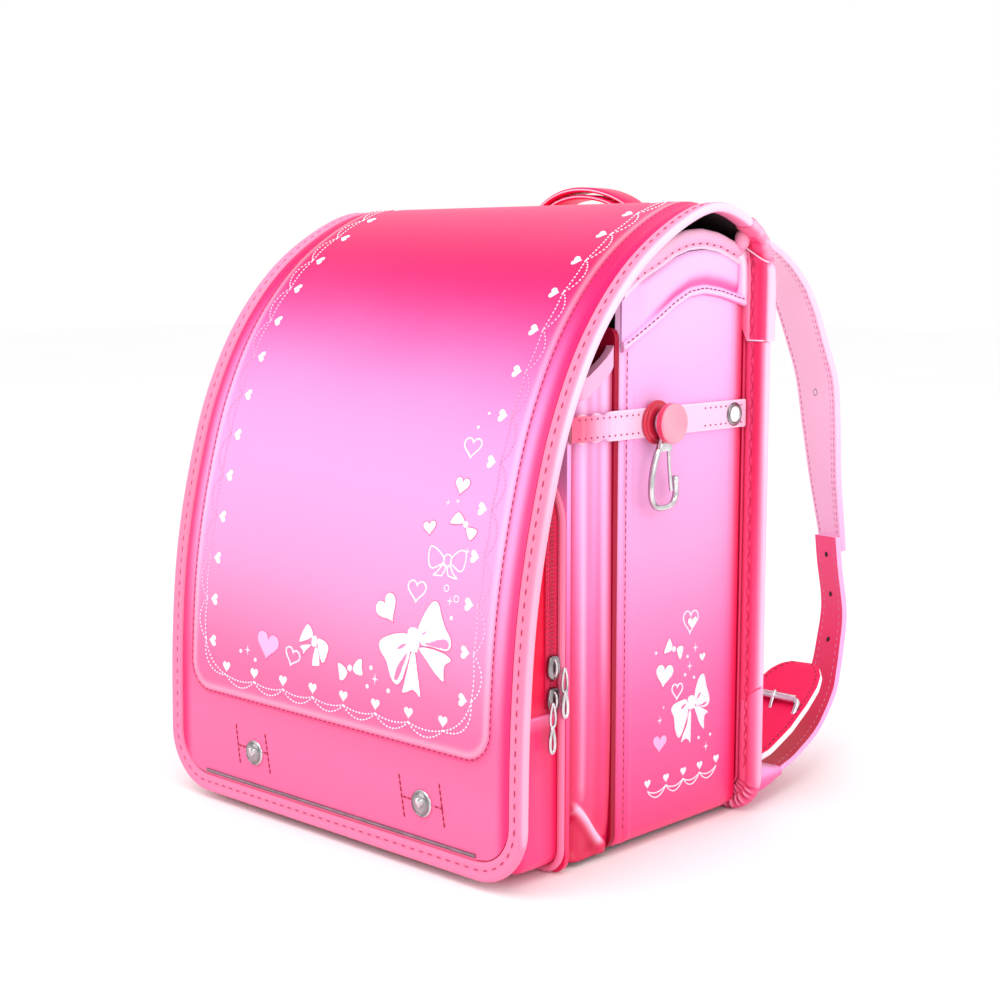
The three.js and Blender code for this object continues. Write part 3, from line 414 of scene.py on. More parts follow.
def patch(loop, place, height=0.4, edge=0.8, grid=1.8, finish=0, lift=0.0):
    """Closed puffed patch with a rounded edge, laid on a surface."""
    count = len(loop)
    flat = [Vector(p) for p in loop]
    left, right = min(p[0] for p in loop), max(p[0] for p in loop)
    low, high = min(p[1] for p in loop), max(p[1] for p in loop)
    for i, (u, v) in enumerate(loop):
        before, after = Vector(loop[i - 1]), Vector(loop[(i + 1) % count])
        run = (after - before).normalized()
        for side in (1, -1):
            inner = Vector((u, v)) + Vector((-run.y, run.x)) * side * edge * 0.45
            if abs(edge_distance(inner.x, inner.y, loop) - edge * 0.45) < edge * 0.12:
                flat.append(inner)
    for row, v in enumerate(steps(low + grid / 2, high - grid / 2, grid * 0.87)):
        for u in steps(left + (row % 2) * grid / 2, right, grid):
            if edge_distance(u, v, loop) > edge:
                flat.append(Vector((u, v)))
    rims = [(i, (i + 1) % count) for i in range(count)]
    spots, _, faces, _, _, _ = delaunay_2d_cdt(flat, rims, [], 1, 1e-5)
    tops = []
    for spot in spots:
        depth = min(max(edge_distance(spot.x, spot.y, loop), 0) / edge, 1)
        tops.append(place(spot.x, spot.y, lift + 0.02 + height * math.sqrt(1 - (1 - depth) ** 2)))
    bottoms = [place(spot.x, spot.y, -0.25) for spot in spots]
    total = len(spots)
    shape = [tuple(face) for face in faces] + [tuple(i + total for i in face[::-1]) for face in faces]
    edges = {}
    for face in faces:
        for a, b in zip(face, face[1:] + face[:1]):
            edges[(a, b)] = edges.get((b, a), 0) + 1
            if (b, a) in edges:
                edges[(b, a)] = 2
                edges[(a, b)] = 2
    shape += [(b, a, a + total, b + total) for (a, b), used in edges.items() if used == 1]
    return tops + bottoms, shape, finish


def welt(points, outs, width, height, joined=False, finish=0):
    """Low rounded cord in millimetres, half sunk in a surface."""
    rings = []
    for i, place in enumerate(points):
        if joined:
            run = points[(i + 1) % len(points)] - points[i - 1]
        else:
            run = points[min(i + 1, len(points) - 1)] - points[max(i - 1, 0)]
        across = outs[i].cross(run).normalized()
        section = ((-0.5, -0.3), (-0.42, 0.45), (0, 1), (0.42, 0.45), (0.5, -0.3), (0, -0.5))
        rings.append([place + across * (a * width * MM) + outs[i] * (b * height * MM) for a, b in section])
    return loft(rings, joined, finish)


def traced(loop, place, width=0.8, height=0.3, closed=True, finish=0, lift=0.0):
    return welt(*laid(place, loop, lift), width, height, closed, finish)


def motif(loop, place, satin=0, lined=True):
    shapes = [patch(loop, place, finish=satin)]
    # The darker cord round a patch is a raised edge coloured as a painted shadow.
    if lined:
        shapes.append(traced(loop, place, 0.5, 0.22, finish=2))
    return shapes


# Finishes

def new_finish(name):
    material = bpy.data.materials.new(name)
    material.use_nodes = True
    nodes = material.node_tree.nodes
    return material, nodes, material.node_tree.links, nodes["Principled BSDF"]


def colour(hex_code):
    values = [int(hex_code[i:i + 2], 16) / 255 for i in (0, 2, 4)]
    return (*[v / 12.92 if v <= 0.04045 else ((v + 0.055) / 1.055) ** 2.4 for v in values], 1.0)


def ramp_node(nodes, stops):
    ramp = nodes.new("ShaderNodeValToRGB")
    ramp.color_ramp.interpolation = "B_SPLINE" if len(stops) > 3 else "LINEAR"
    for i, (place, code) in enumerate(stops):
        stop = ramp.color_ramp.elements[i] if i < 2 else ramp.color_ramp.elements.new(place)
        stop.position = place
        stop.color = colour(code)
    return ramp


def coated_leather(name, stops, low, high, roughness=0.36, coat=0.1, gloss=0.3, grain=0.12, mottle=0.05,
                   grain_scale=900.0, tilt=0.0, deep="e8185c", bright="fff0fb"):
    """Coated leather whose colour drifts between two heights, in metres, with a fine pressed grain."""
    material, nodes, links, shader = new_finish(name)
    places = nodes.new("ShaderNodeTexCoord")
    split = nodes.new("ShaderNodeSeparateXYZ")
    links.new(places.outputs["Object"], split.inputs[0])
    cloud = nodes.new("ShaderNodeTexNoise")
    cloud.inputs["Scale"].default_value = 14.0
    cloud.inputs["Detail"].default_value = 3.0
    links.new(places.outputs["Object"], cloud.inputs["Vector"])
    drift = nodes.new("ShaderNodeMath")
    drift.operation = "MULTIPLY_ADD"
    links.new(cloud.outputs["Fac"], drift.inputs[0])
    drift.inputs[1].default_value = mottle * (high - low)
    slant = nodes.new("ShaderNodeMath")
    slant.operation = "MULTIPLY_ADD"
    slant.inputs[1].default_value = tilt
    links.new(split.outputs["X"], slant.inputs[0])
    links.new(split.outputs["Z"], slant.inputs[2])
    links.new(slant.outputs[0], drift.inputs[2])
    share = nodes.new("ShaderNodeMapRange")
    share.inputs["From Min"].default_value = low + mottle * (high - low) / 2
    share.inputs["From Max"].default_value = high + mottle * (high - low) / 2
    links.new(drift.outputs[0], share.inputs["Value"])
    ramp = ramp_node(nodes, stops)
    links.new(share.outputs["Result"], ramp.inputs["Fac"])
    dyed = ramp.outputs["Color"]
    # The deep and bright attributes mix in a darker and a paler colour: on most pieces a painted shade and a painted
    # highlight.
    for label, code in (("deep", deep), ("bright", bright)):
        amount = nodes.new("ShaderNodeAttribute")
        amount.attribute_name = label
        mixed = nodes.new("ShaderNodeMix")
        mixed.data_type = "RGBA"
        links.new(amount.outputs["Fac"], mixed.inputs[0])
        links.new(dyed, mixed.inputs[6])
        mixed.inputs[7].default_value = colour(code)
        dyed = mixed.outputs[2]
    links.new(dyed, shader.inputs["Base Color"])
    cells = nodes.new("ShaderNodeTexVoronoi")
    cells.inputs["Scale"].default_value = grain_scale
    links.new(places.outputs["Object"], cells.inputs["Vector"])
    relief = nodes.new("ShaderNodeBump")
    relief.inputs["Strength"].default_value = grain
    relief.inputs["Distance"].default_value = 0.0002
    links.new(cells.outputs["Distance"], relief.inputs["Height"])
    links.new(relief.outputs["Normal"], shader.inputs["Normal"])
    shader.inputs["Roughness"].default_value = roughness
    shader.inputs["Coat Weight"].default_value = coat
    shader.inputs["Coat Roughness"].default_value = 0.22
    shader.inputs["Specular IOR Level"].default_value = gloss
    return material


def thread(name, code, dark, roughness=0.55, strands_scale=420.0):
    """Twisted thread: fine slanting strands in two shades."""
    material, nodes, links, shader = new_finish(name)
    places = nodes.new("ShaderNodeTexCoord")
    strands = nodes.new("ShaderNodeTexWave")
    strands.wave_type = "BANDS"
    strands.bands_direction = "DIAGONAL"
    strands.inputs["Scale"].default_value = strands_scale
    strands.inputs["Distortion"].default_value = 1.5
    links.new(places.outputs["Object"], strands.inputs["Vector"])
    ramp = ramp_node(nodes, [(0.0, dark), (1.0, code)])
    links.new(strands.outputs["Fac"], ramp.inputs["Fac"])
    links.new(ramp.outputs["Color"], shader.inputs["Base Color"])
    relief = nodes.new("ShaderNodeBump")
    relief.inputs["Strength"].default_value = 0.2
    relief.inputs["Distance"].default_value = 0.0002
    links.new(strands.outputs["Fac"], relief.inputs["Height"])
    links.new(relief.outputs["Normal"], shader.inputs["Normal"])
    shader.inputs["Roughness"].default_value = roughness
    return material


def polished_metal(name, code, dark_reflection, roughness=0.16):
    """Plated metal with faint patches in its gloss, coloured towards a darker painted reflection, and dark with
    painted shade where an attribute of the mesh says so.
    """
    material, nodes, links, shader = new_finish(name)
    places = nodes.new("ShaderNodeTexCoord")
    patch_noise = nodes.new("ShaderNodeTexNoise")
    patch_noise.inputs["Scale"].default_value = 160.0
    patch_noise.inputs["Detail"].default_value = 4.0
    links.new(places.outputs["Object"], patch_noise.inputs["Vector"])
    ramp = ramp_node(nodes, [(0.3, code), (0.8, dark_reflection)])
    links.new(patch_noise.outputs["Fac"], ramp.inputs["Fac"])
    # Painted shade: the deep attribute darkens the metal towards a near-black colour.
    amount = nodes.new("ShaderNodeAttribute")
    amount.attribute_name = "deep"
    mixed = nodes.new("ShaderNodeMix")
    mixed.data_type = "RGBA"
    links.new(amount.outputs["Fac"], mixed.inputs[0])
    links.new(ramp.outputs["Color"], mixed.inputs[6])
    mixed.inputs[7].default_value = colour("3a3236")
    links.new(mixed.outputs[2], shader.inputs["Base Color"])
    gloss = nodes.new("ShaderNodeMapRange")
    gloss.inputs["To Min"].default_value = roughness * 0.7
    gloss.inputs["To Max"].default_value = roughness * 1.6
    links.new(patch_noise.outputs["Fac"], gloss.inputs["Value"])
    links.new(gloss.outputs["Result"], shader.inputs["Roughness"])
    shader.inputs["Metallic"].default_value = 1.0
    return material


def woven(name, code, dark, scale=1600.0):
    """Close woven tape or lining."""
    material, nodes, links, shader = new_finish(name)
    places = nodes.new("ShaderNodeTexCoord")
    weave = nodes.new("ShaderNodeTexChecker")
    weave.inputs["Scale"].default_value = scale
    links.new(places.outputs["Object"], weave.inputs["Vector"])
    weave.inputs["Color1"].default_value = colour(code)
    weave.inputs["Color2"].default_value = colour(dark)
    links.new(weave.outputs["Color"], shader.inputs["Base Color"])
    relief = nodes.new("ShaderNodeBump")
    relief.inputs["Strength"].default_value = 0.3
    relief.inputs["Distance"].default_value = 0.0002
    links.new(weave.outputs["Fac"], relief.inputs["Height"])
    links.new(relief.outputs["Normal"], shader.inputs["Normal"])
    shader.inputs["Roughness"].default_value = 0.8
    return material


def moulded(name, code, shade):
    """Smooth moulded plastic with a slight mottle."""
    material, nodes, links, shader = new_finish(name)
    places = nodes.new("ShaderNodeTexCoord")
    cloud = nodes.new("ShaderNodeTexNoise")
    cloud.inputs["Scale"].default_value = 90.0
    links.new(places.outputs["Object"], cloud.inputs["Vector"])
    ramp = ramp_node(nodes, [(0.2, code), (0.8, shade)])
    links.new(cloud.outputs["Fac"], ramp.inputs["Fac"])
    links.new(ramp.outputs["Color"], shader.inputs["Base Color"])
    shader.inputs["Roughness"].default_value = 0.35
    shader.inputs["Coat Weight"].default_value = 0.2
    return material


# Pink leather with painted light up the flap and the sides: the pale lilac band across the flap's middle, slanted by
# tilt, is a painted reflection and the deep hot pink near its top is painted shade; the sides and cap pale towards the
# top as painted highlight and deepen at the foot as painted shade.
FLAP_STOPS_WITH_PAINTED_LIGHT = [(0.0, "f96898"), (0.14, "f9719f"), (0.22, "f96494"), (0.31, "f97eac"), (0.4, "f994c5"),
              (0.52, "f99dd2"), (0.63, "f99cd5"), (0.72, "f98cc9"), (0.79, "f964aa"), (0.86, "f52a76"),
              (0.93, "f5165c"), (1.0, "f64c7c")]
SIDE_STOPS_WITH_PAINTED_LIGHT = [(0.0, "f03c74"), (0.1, "f54788"), (0.25, "f75f9e"), (0.38, "f683be"), (0.5, "f69cd0"),
              (0.72, "f7ade8"), (0.85, "f7bdf2"), (1.0, "f7c9f4")]
pearl_flap = coated_leather("pearl flap leather", FLAP_STOPS_WITH_PAINTED_LIGHT, 0.0, 0.312, coat=0.0, gloss=0.08, mottle=0.03,
                            tilt=0.055, deep="e01a68")
pearl_side = coated_leather("pearl side leather", SIDE_STOPS_WITH_PAINTED_LIGHT, 0.0, 0.3, roughness=0.34, coat=0.12, gloss=0.25,
                            mottle=0.03, deep="f0104e", bright="fbd2f4")
pearl_cap = coated_leather("pearl cap leather", SIDE_STOPS_WITH_PAINTED_LIGHT, 0.0, 0.3, roughness=0.34, coat=0.12, gloss=0.25,
                           mottle=0.03, deep="f4409c", bright="fbd2f4")
# Pink leather, hot at the foot and pale at the top: painted light, as on the sides.
gusset_leather = coated_leather("soft gusset leather",
                                [(0.0, "f01a59"), (0.22, "f8367a"), (0.38, "fb4689"), (0.55, "fd68af"),
                                 (0.8, "fda8e8"), (1.0, "fdc0f4")], 0.0, 0.24, roughness=0.28, coat=0.3,
                                deep="cc0c42", bright="fcd4f4")
pocket_leather = coated_leather("red pink pocket leather",
                                [(0.0, "ef2a6c"), (0.35, "ee1c52"), (0.6, "e80c36"), (1.0, "dc0a30")],
                                0.0, 0.2, gloss=0.15, coat=0.0, deep="b0061f", bright="ff8fb4")
pocket_low_leather = coated_leather("pocket foot leather", [(0.0, "f4357a"), (1.0, "f83a74")], 0.0, 0.09,
                                    roughness=0.3, gloss=0.25, deep="e01048", bright="ff8cc0")
binding_leather = coated_leather("binding leather", [(0.0, "fa7ca6"), (0.5, "f97ea2"), (1.0, "f98cb4")],
                                 0.0, 0.32, roughness=0.42, gloss=0.22, coat=0.05, mottle=0.1, deep="e85088",
                                 bright="fcdcf3")
pale_binding = coated_leather("pale binding leather", [(0.0, "fc98c6"), (1.0, "fcbce0")], 0.0, 0.3,
                              roughness=0.42, deep="f4609a", bright="fff2fc")
rim_leather = coated_leather("rim leather", [(0.0, "ea4a7c"), (0.12, "f2588a"), (0.4, "f9588a"), (1.0, "f65286")],
                             0.0, 0.3, roughness=0.36, gloss=0.2, coat=0.0, deep="ee1a50", bright="fad0ee")
rim_low_leather = coated_leather("rim foot leather", [(0.0, "ee5a8a"), (1.0, "fb7aac")], 0.0, 0.11,
                                 roughness=0.4, gloss=0.2, coat=0.0, deep="b8184a", bright="fab8d8")
hot_leather = coated_leather("hot pink leather", [(0.0, "f01858"), (1.0, "f42262")], 0.0, 0.3, gloss=0.15, coat=0.0)
lower_strap_leather = coated_leather("lower strap leather", [(0.0, "cc1246"), (0.45, "e82e68"), (1.0, "f64a88")],
                                     0.02, 0.13, gloss=0.15, coat=0.0)
strap_leather = coated_leather("strap leather", [(0.0, "f6c0e0"), (1.0, "fcdcf0")], 0.1, 0.3, roughness=0.5,
                               coat=0.0, grain=0.2)
strap_back = coated_leather("soft strap lining", [(0.0, "f8c4de"), (1.0, "f9cde4")], 0.0, 0.3, roughness=0.75,
                            coat=0.0, gloss=0.2, grain=0.4, grain_scale=600.0)
band_leather = coated_leather("side band leather", [(0.0, "f4b2d8"), (1.0, "f6badf")], 0.1, 0.3, roughness=0.42,
                              deep="f4406c", bright="fbe4f4")
lining = woven("dark lining", "2a0410", "140207")
tape = woven("zipper tape", "ee1c54", "c20f3e")
nickel = polished_metal("nickel plate", "e6e3e6", "a8a3a7", roughness=0.1)
dark_nickel = polished_metal("shaded nickel", "a39c9f", "5c5458", roughness=0.2)
zip_teeth = moulded("zipper teeth plastic", "c8204a", "9a1234")
red_thread = thread("dark red thread", "b01048", "7a0630")
crimson_thread = thread("crimson thread", "e8306a", "c8164a")
rose_thread = thread("rose thread", "c8406c", "93204a")
pink_thread = thread("soft pink thread", "fbbbe6", "f59cd4", roughness=0.5)
white_thread = thread("white satin thread", "fdf2f9", "fadfee", roughness=0.45, strands_scale=190.0)
# Darker pink cord round the satin patches: painted shadow at their edges.
patch_shadow_thread = thread("outline thread", "e0609c", "c24484")
salmon = moulded("salmon plastic", "f7a0b4", "f58ea6")
dark_salmon = moulded("dark salmon plastic", "e02248", "c81a3c")
side_salmon = moulded("knob side plastic", "ee4468", "e03058")
dark_film = moulded("dark film edge", "7a5064", "5c3a4c")
# Pale silvery thread; the mauve band at mid height is a painted reflection.
border_thread = coated_leather("border thread", [(0.0, "fff0fa"), (0.3, "ffe3f6"), (0.45, "d79ccb"), (0.75, "cd8cc0"),
                                                (0.88, "ffe2f1"), (1.0, "fff0f6")], 0.0, 0.31, roughness=0.45,
                               coat=0.0)
strap_thread = thread("strap thread", "e690bc", "cf6f9e")
pale_edge = coated_leather("pale painted edge", [(0.0, "f0a0dc"), (0.35, "f6b4de"), (0.6, "f9cce6"), (1.0, "fad0ea")], 0.0, 0.33,
                           roughness=0.3)
white_edge = coated_leather("white cut edge", [(0.0, "fff1f8"), (1.0, "ffffff")], 0.0, 0.33, roughness=0.5, coat=0.0)
# Hot pink at the foot, paler towards the top: a painted highlight on the tab's top.
tab_leather = coated_leather("folded tab leather", [(0.0, "e0246e"), (0.45, "ee5aa0"), (0.6, "f29ad8"),
                                                    (1.0, "eeb8f2")], 0.003, 0.026, roughness=0.25)
# Deep pink for the partition's edge between the gusset and the side and for the board's inner face: painted shade.
painted_shade_leather = coated_leather("deep pink leather", [(0.0, "a00a2c"), (1.0, "ac1036")], 0.0, 0.3, gloss=0.15)
reflector = polished_metal("reflective film", "a8929c", "7c6872", roughness=0.3)

# The camera stands where the photograph was taken from

camera_data = bpy.data.cameras.new("photo camera")
camera_data.lens = 63.02
camera_data.sensor_width = 36.0
camera_data.clip_start, camera_data.clip_end = 0.05, 20.0
camera = bpy.data.objects.new("photo camera", camera_data)
camera_turn, camera_tilt = math.radians(43.617), math.radians(7.687)
camera_back = Vector((math.sin(camera_turn) * math.cos(camera_tilt),
                      -math.cos(camera_turn) * math.cos(camera_tilt), math.sin(camera_tilt)))
camera.location = at(636.425, -672.668, 279.241)
camera.rotation_mode = "QUATERNION"
camera.rotation_quaternion = (-camera_back).to_track_quat("-Z", "Y")
bpy.context.scene.collection.objects.link(camera)
bpy.context.scene.camera = camera

# The flap: a stiff sheet that follows one crown line, with a raised middle

FLAP_BACK, FLAP_REACH, FLAP_HEIGHT = 61.0, 126.6, 309.2
CROWN_TABLE = [(1, 0.779), (1, 0.86), (0.955, 0.916), (0.8, 0.956), (0.53, 0.986), (0.19, 1),
               (-0.093, 0.98), (-0.393, 0.9065), (-0.6256, 0.8043), (-0.788, 0.6818), (-0.8926, 0.548),
               (-0.962, 0.411), (-0.995, 0.271), (-1.006, 0.13), (-1.006, 0.003)]
crown_points = [Vector((0, out * (FLAP_BACK if out > 0 else FLAP_REACH), up * FLAP_HEIGHT))
                for out, up in CROWN_TABLE]
crown_line = even_line(smooth_line(crown_points, 40), 0.8)
CROWN_STEP = sum((b - a).length for a, b in zip(crown_line, crown_line[1:])) / (len(crown_line) - 1)
CROWN_LENGTH = CROWN_STEP * (len(crown_line) - 1)
PANEL_HALF, PANEL_FOOT, PANEL_CORNER, PANEL_RISE = 109.5, 56.0, 15.0, 1.8
SHEET_HALF, SHEET_FOOT, SHEET_CORNER = 120.2, 9.8, 20.5


def crown_at(up):
    """Place on the crown line at a distance above the hem, with the way outwards."""
    run = min(max((CROWN_LENGTH - up) / CROWN_STEP, 0.0), len(crown_line) - 1.001)
    i = int(run)
    place = crown_line[i].lerp(crown_line[i + 1], run - i)
    before, after = crown_line[max(i - 2, 0)], crown_line[min(i + 3, len(crown_line) - 1)]
    along = (after - before).normalized()
    return place, Vector((0, along.z, -along.y)), along


def panel_distance(x, up):
    """Distance outside the stitched border of the raised middle; negative inside."""
    across = abs(x) - (PANEL_HALF - PANEL_CORNER)
    below = (PANEL_FOOT + PANEL_CORNER) - up
    out = math.hypot(max(across, 0), max(below, 0))
    return out + min(max(across, below), 0) - PANEL_CORNER


def flap_relief(x, up):
    d = panel_distance(x, up)
    drop = ease((d - 0.4) / 3.6) * PANEL_RISE
    groove = 0.45 * bump(d, 0.7)
    swell = 0.5 * bump(d - 7.0, 2.4) if up > PANEL_FOOT else 0.0
    return -drop - groove + swell * ease((up - PANEL_FOOT) / 30)


def flap_place(x, up, lift=0.0):
    place, out, _ = crown_at(up)
    place = place + out * (flap_relief(x, up) + lift)
    return at(x, place.y, place.z)


def sheet_half(up):
    full = lerp(SHEET_HALF, 118.7, ease((up - (CROWN_LENGTH - 70)) / 10))
    if up - SHEET_FOOT >= SHEET_CORNER:
        return full
    rest = SHEET_CORNER - max(up - SHEET_FOOT, 0)
    return full - SHEET_CORNER + math.sqrt(max(SHEET_CORNER ** 2 - rest ** 2, 0))


def flap_sheet():
    half_columns = ([0, 12, 24, 36, 48, 60, 72, 84, 92] + steps(96, 106, 1.6)[:-1] + steps(106, 116, 0.7)[:-1]
                    + steps(116, SHEET_HALF, 1.0))
    columns = [-x for x in half_columns[:0:-1]] + half_columns
    rows = (steps(SHEET_FOOT, 30, 1.5)[:-1] + steps(30, 50, 3)[:-1] + steps(50, 60, 0.7)[:-1]
            + steps(60, 74, 1.5)[:-1] + steps(74, CROWN_LENGTH, 4))
    rings = []
    for up in rows:
        stretch = sheet_half(up) / SHEET_HALF
        upper = [flap_place(x * stretch, up) for x in columns]
        place, out, _ = crown_at(up)
        low = place - out * (PANEL_RISE + 2.6)
        under = [at(x * stretch, low.y, low.z) for x in columns[::-6]]
        rings.append(upper + under)
    finish = [0] * len(columns) + [1] * (len(rings[0]) - len(columns))
    finish[len(columns) - 1] = 0
    return loft(rings, finish=finish)


PANEL_SHIFT = crown_at(PANEL_FOOT)[0].z - PANEL_FOOT


def flap_shade(x, y, z):
    """Painted shade on the flap close to its binding and in the groove round its raised middle."""
    return 0.85 * ease((x - 111.5) / 7) + 0.6 * bump(panel_distance(x, z - PANEL_SHIFT) - 0.5, 1.0)


# Painted highlight on the puffed edge just inside the groove.
def flap_shine(x, y, z):
    return 0.22 * bump(panel_distance(x, z - PANEL_SHIFT) + 2.4, 1.6)


build("flap_leather", [flap_sheet()], [pearl_flap, lining], slot="pearl_leather", replaces=["flap"],
      deep=flap_shade, bright=flap_shine)


# The binding round the flap, with a fat rolled outer edge

FLAP_HALF, BINDING_WIDTH, HEM_CORNER = 130.0, 9.5, 30.0
BINDING_SECTION = [(-4.75, 0.6), (-4.5, 1.6), (-3.6, 2.2), (-2.2, 2.3), (-0.9, 2.0), (0.0, 1.75), (0.9, 2.0),
                   (2.2, 2.45), (3.4, 2.35), (4.3, 1.7), (4.75, 0.6), (4.75, -0.6), (4.3, -1.7), (3.2, -2.3),
                   (1.0, -2.3), (-2.0, -2.2), (-4.2, -1.9), (-4.75, -0.8)]


def binding_path(corner_step=6.0):
    """Rows of x, distance above the hem and turn of the outward direction, from the right back to the left back."""
    middle = FLAP_HALF - BINDING_WIDTH / 2
    corner = HEM_CORNER - BINDING_WIDTH / 2
    low = BINDING_WIDTH / 2
    rows = [(middle, up, 0.0) for up in steps(CROWN_LENGTH - 61, low + corner, 5)[:-1]]
    for turn in steps(0, 90, corner_step):
        angle = math.radians(turn)
        rows.append((middle - corner * (1 - math.cos(angle)), low + corner * (1 - math.sin(angle)), angle))
    rows += [(x, low, math.pi / 2) for x in steps(middle - corner, 0, 6)[1:]]
    left = [(-x, up, math.pi - turn) for x, up, turn in rows[:-1]][::-1]
    return rows + left


def binding_frame(x, up, turn):
    place, out, along = crown_at(up)
    place = place - out * (PANEL_RISE - 1.0 + 2.4)
    across = Vector((math.cos(turn), 0, 0)) + along * math.sin(turn)
    return Vector((x, place.y, place.z)), across, out


def flap_binding():
    rings = []
    for x, up, turn in binding_path():
        centre, across, out = binding_frame(x, up, turn)
        rings.append(section_ring(BINDING_SECTION, centre, across, out))
    return loft(rings)


def binding_shine(x, y, z):
    """Its rolled edge catches the light, most of all near the top."""
    return 0.85 * ease((x - 128.2) / 1.5) * lerp(0.45, 1, ease((z - 150) / 90))


build("flap_binding_leather", [flap_binding()], [binding_leather], slot="binding_leather",
      replaces=["flap_binding"], sharp=60, bright=binding_shine)

# The side of the case: panel, puffed cap over a wave, and the binding along its curved top

SIDE_X, SIDE_FRONT, SIDE_BACK = 118.0, -48.4, 48.4
TOP_LOW = [(-48.4, 261.9), (-42.6, 266.4), (-32.9, 271.7), (-21.3, 276.5), (-9.7, 282.1), (1.9, 285.3),
           (13.6, 286.2), (27.1, 284.5), (40.7, 280.0), (48.4, 276.8)]
WAVE_LOW = [(-48.4, 238.3), (-42.6, 240.9), (-32.9, 245.7), (-21.3, 251.6), (-9.7, 258.1), (1.9, 263.0),
            (13.6, 264.4), (27.1, 262.8), (40.7, 259.6), (48.4, 258.1)]


def side_relief(y, z):
    roll = 3.4 - math.sqrt(max(3.4 ** 2 - (3.4 - min(y - SIDE_FRONT, 3.4)) ** 2, 0))
    back = 1.2 * bump(SIDE_BACK - y, 5.0)
    return -roll * 0.9 - 0.45 * bump(y + 42.6, 0.6) - back + 0.5 * bump(y + 39.5, 1.4)


def side_panel_shape():
    columns = steps(SIDE_FRONT, -36, 0.7)[:-1] + steps(-36, SIDE_BACK, 4)
    heights = steps(8, 60, 4)[:-1] + steps(60, 300, 10)
    foot = [math.radians(a) for a in steps(-90, 0, 9)]
    rings = []
    for y in columns:
        top = table(TOP_LOW, y) - 0.3
        sink = side_relief(y, 0)
        ring = [at(110 + (8 + sink) * math.cos(a), y, 8 + (8 + sink * 0.5) * math.sin(a)) for a in foot[:-1]]
        ring += [at(SIDE_X + sink, y, lerp(8, top, (z - 8) / 292)) for z in heights]
        ring += [at(SIDE_X - 3, y, top), at(SIDE_X - 3, y, 8)]
        ring += [at(110 + 5 * math.cos(a), y, 8 + 5 * math.sin(a)) for a in foot[:-1][::-1]]
        rings.append(ring)
    return loft(rings)


def side_cap_shape():
    """Puffed leather between the wave and the top binding, with a raised stitched roll along the wave."""
    columns = steps(SIDE_FRONT + 0.6, -30, 1.2)[:-1] + steps(-30, 34, 3)[:-1] + steps(34, 47.6, 1.2)
    levels = [0, 0.35, 0.8, 1.4, 2.1, 2.8, 3.2, 3.6, 4.2, 4.8, 5.3, 6.2, 7.4, 9.0]
    rings = []
    for y in columns:
        low, top = table(WAVE_LOW, y), table(TOP_LOW, y) - 0.3
        heights = [low + level for level in levels]
        heights += [lerp(low + 10.5, top, share) for share in (0, 0.15, 0.3, 0.45, 0.6, 0.75, 0.86, 0.93, 1)]
        outer = []
        for z in heights:
            above = z - low
            roll = 1.9 * math.sqrt(max(1 - ((above - 2.5) / 2.6) ** 2, 0)) if above < 5.1 else 0
            groove = 0.55 * bump(above - 3.2, 0.45)
            side = min(ease((y + 38.5) / 7), ease((43.5 - y) / 6))
            puff = 1.9 * side * ease((above - 5.2) / 5) * ease((top - z) / 3 + 0.35)
            outer.append(at(SIDE_X + 0.5 + max(roll, 0) - groove + puff, y, z))
        inner = [at(SIDE_X + 0.2, y, z) for z in heights[::-1]]
        rings.append(outer + inner)
    return loft(rings)


def side_top_binding_shape():
    line = even_line([Vector((0, y, table(TOP_LOW, y))) for y in steps(SIDE_FRONT, SIDE_BACK, 1)], 3)
    section = [(-5, 0.9), (-4.6, 2.1), (-3.4, 2.5), (-2.2, 2.15), (-1.4, 2.6), (0.6, 3.0), (2.8, 2.7), (4.4, 1.5),
               (5, 0), (4.4, -1.5), (2.6, -2.2), (-4.2, -2.2), (-5, -1.4)]
    rings = []
    for i, place in enumerate(line):
        run = (line[min(i + 1, len(line) - 1)] - line[max(i - 1, 0)]).normalized()
        up = Vector((0, -run.z, run.y))
        centre = Vector((SIDE_X - 1.5, place.y, place.z + 5))
        rings.append(section_ring(section, centre, up, Vector((1, 0, 0))))
    return loft(rings)


def pair(name, shape, materials, slot, nodes, **look):
    for side, form in (("right", shape), ("left", mirrored(shape))):
        build(f"{name}_{side}", [form], materials, slot=slot, replaces=[f"{node}_{side}" for node in nodes], **look)


def side_shade(x, y, z):
    """Painted shade: deeper towards the rim, and in a narrow line behind the rolled front edge."""
    return 0.95 * ease((y - 36) / 12) ** 1.3 + 0.3 * bump(y + 43.6, 1.2)


# Painted shade: a band above the wave's roll fading towards the front, a line at the cap's rear fold and a crease at
# the roll's foot.
def cap_shade(x, y, z):
    above = z - table(WAVE_LOW, y)
    band = bump(above - 6.6, 3.2) * ease((y + 34) / 24) if above > 5 else 0
    return 0.85 * band * ease((43 - y) / 3) + 0.6 * bump(y - 41.5, 1.5) * ease((above - 5) / 3) + 0.75 * bump(above, 0.7)


# Painted highlight on the top of the wave's roll and on the cap's rear end.
def cap_shine(x, y, z):
    return 0.9 * bump(z - table(WAVE_LOW, y) - 1.9, 0.8) + 0.5 * ease((y - 43) / 2)


# The sides get painted shade towards the rim and a painted highlight on the rolled front edge.
pair("side_leather", side_panel_shape(), [pearl_side], "pearl_leather", ["side_panel"], deep=side_shade,
     bright=lambda x, y, z: 0.4 * ease((-45.2 - y) / 1.6) * ease((z - 90) / 130))
pair("cap_leather", side_cap_shape(), [pearl_cap], "pearl_leather", ["side_cap"], sharp=50, deep=cap_shade,
     bright=cap_shine)


def top_binding_level(y, z):
    return z - table(TOP_LOW, y)


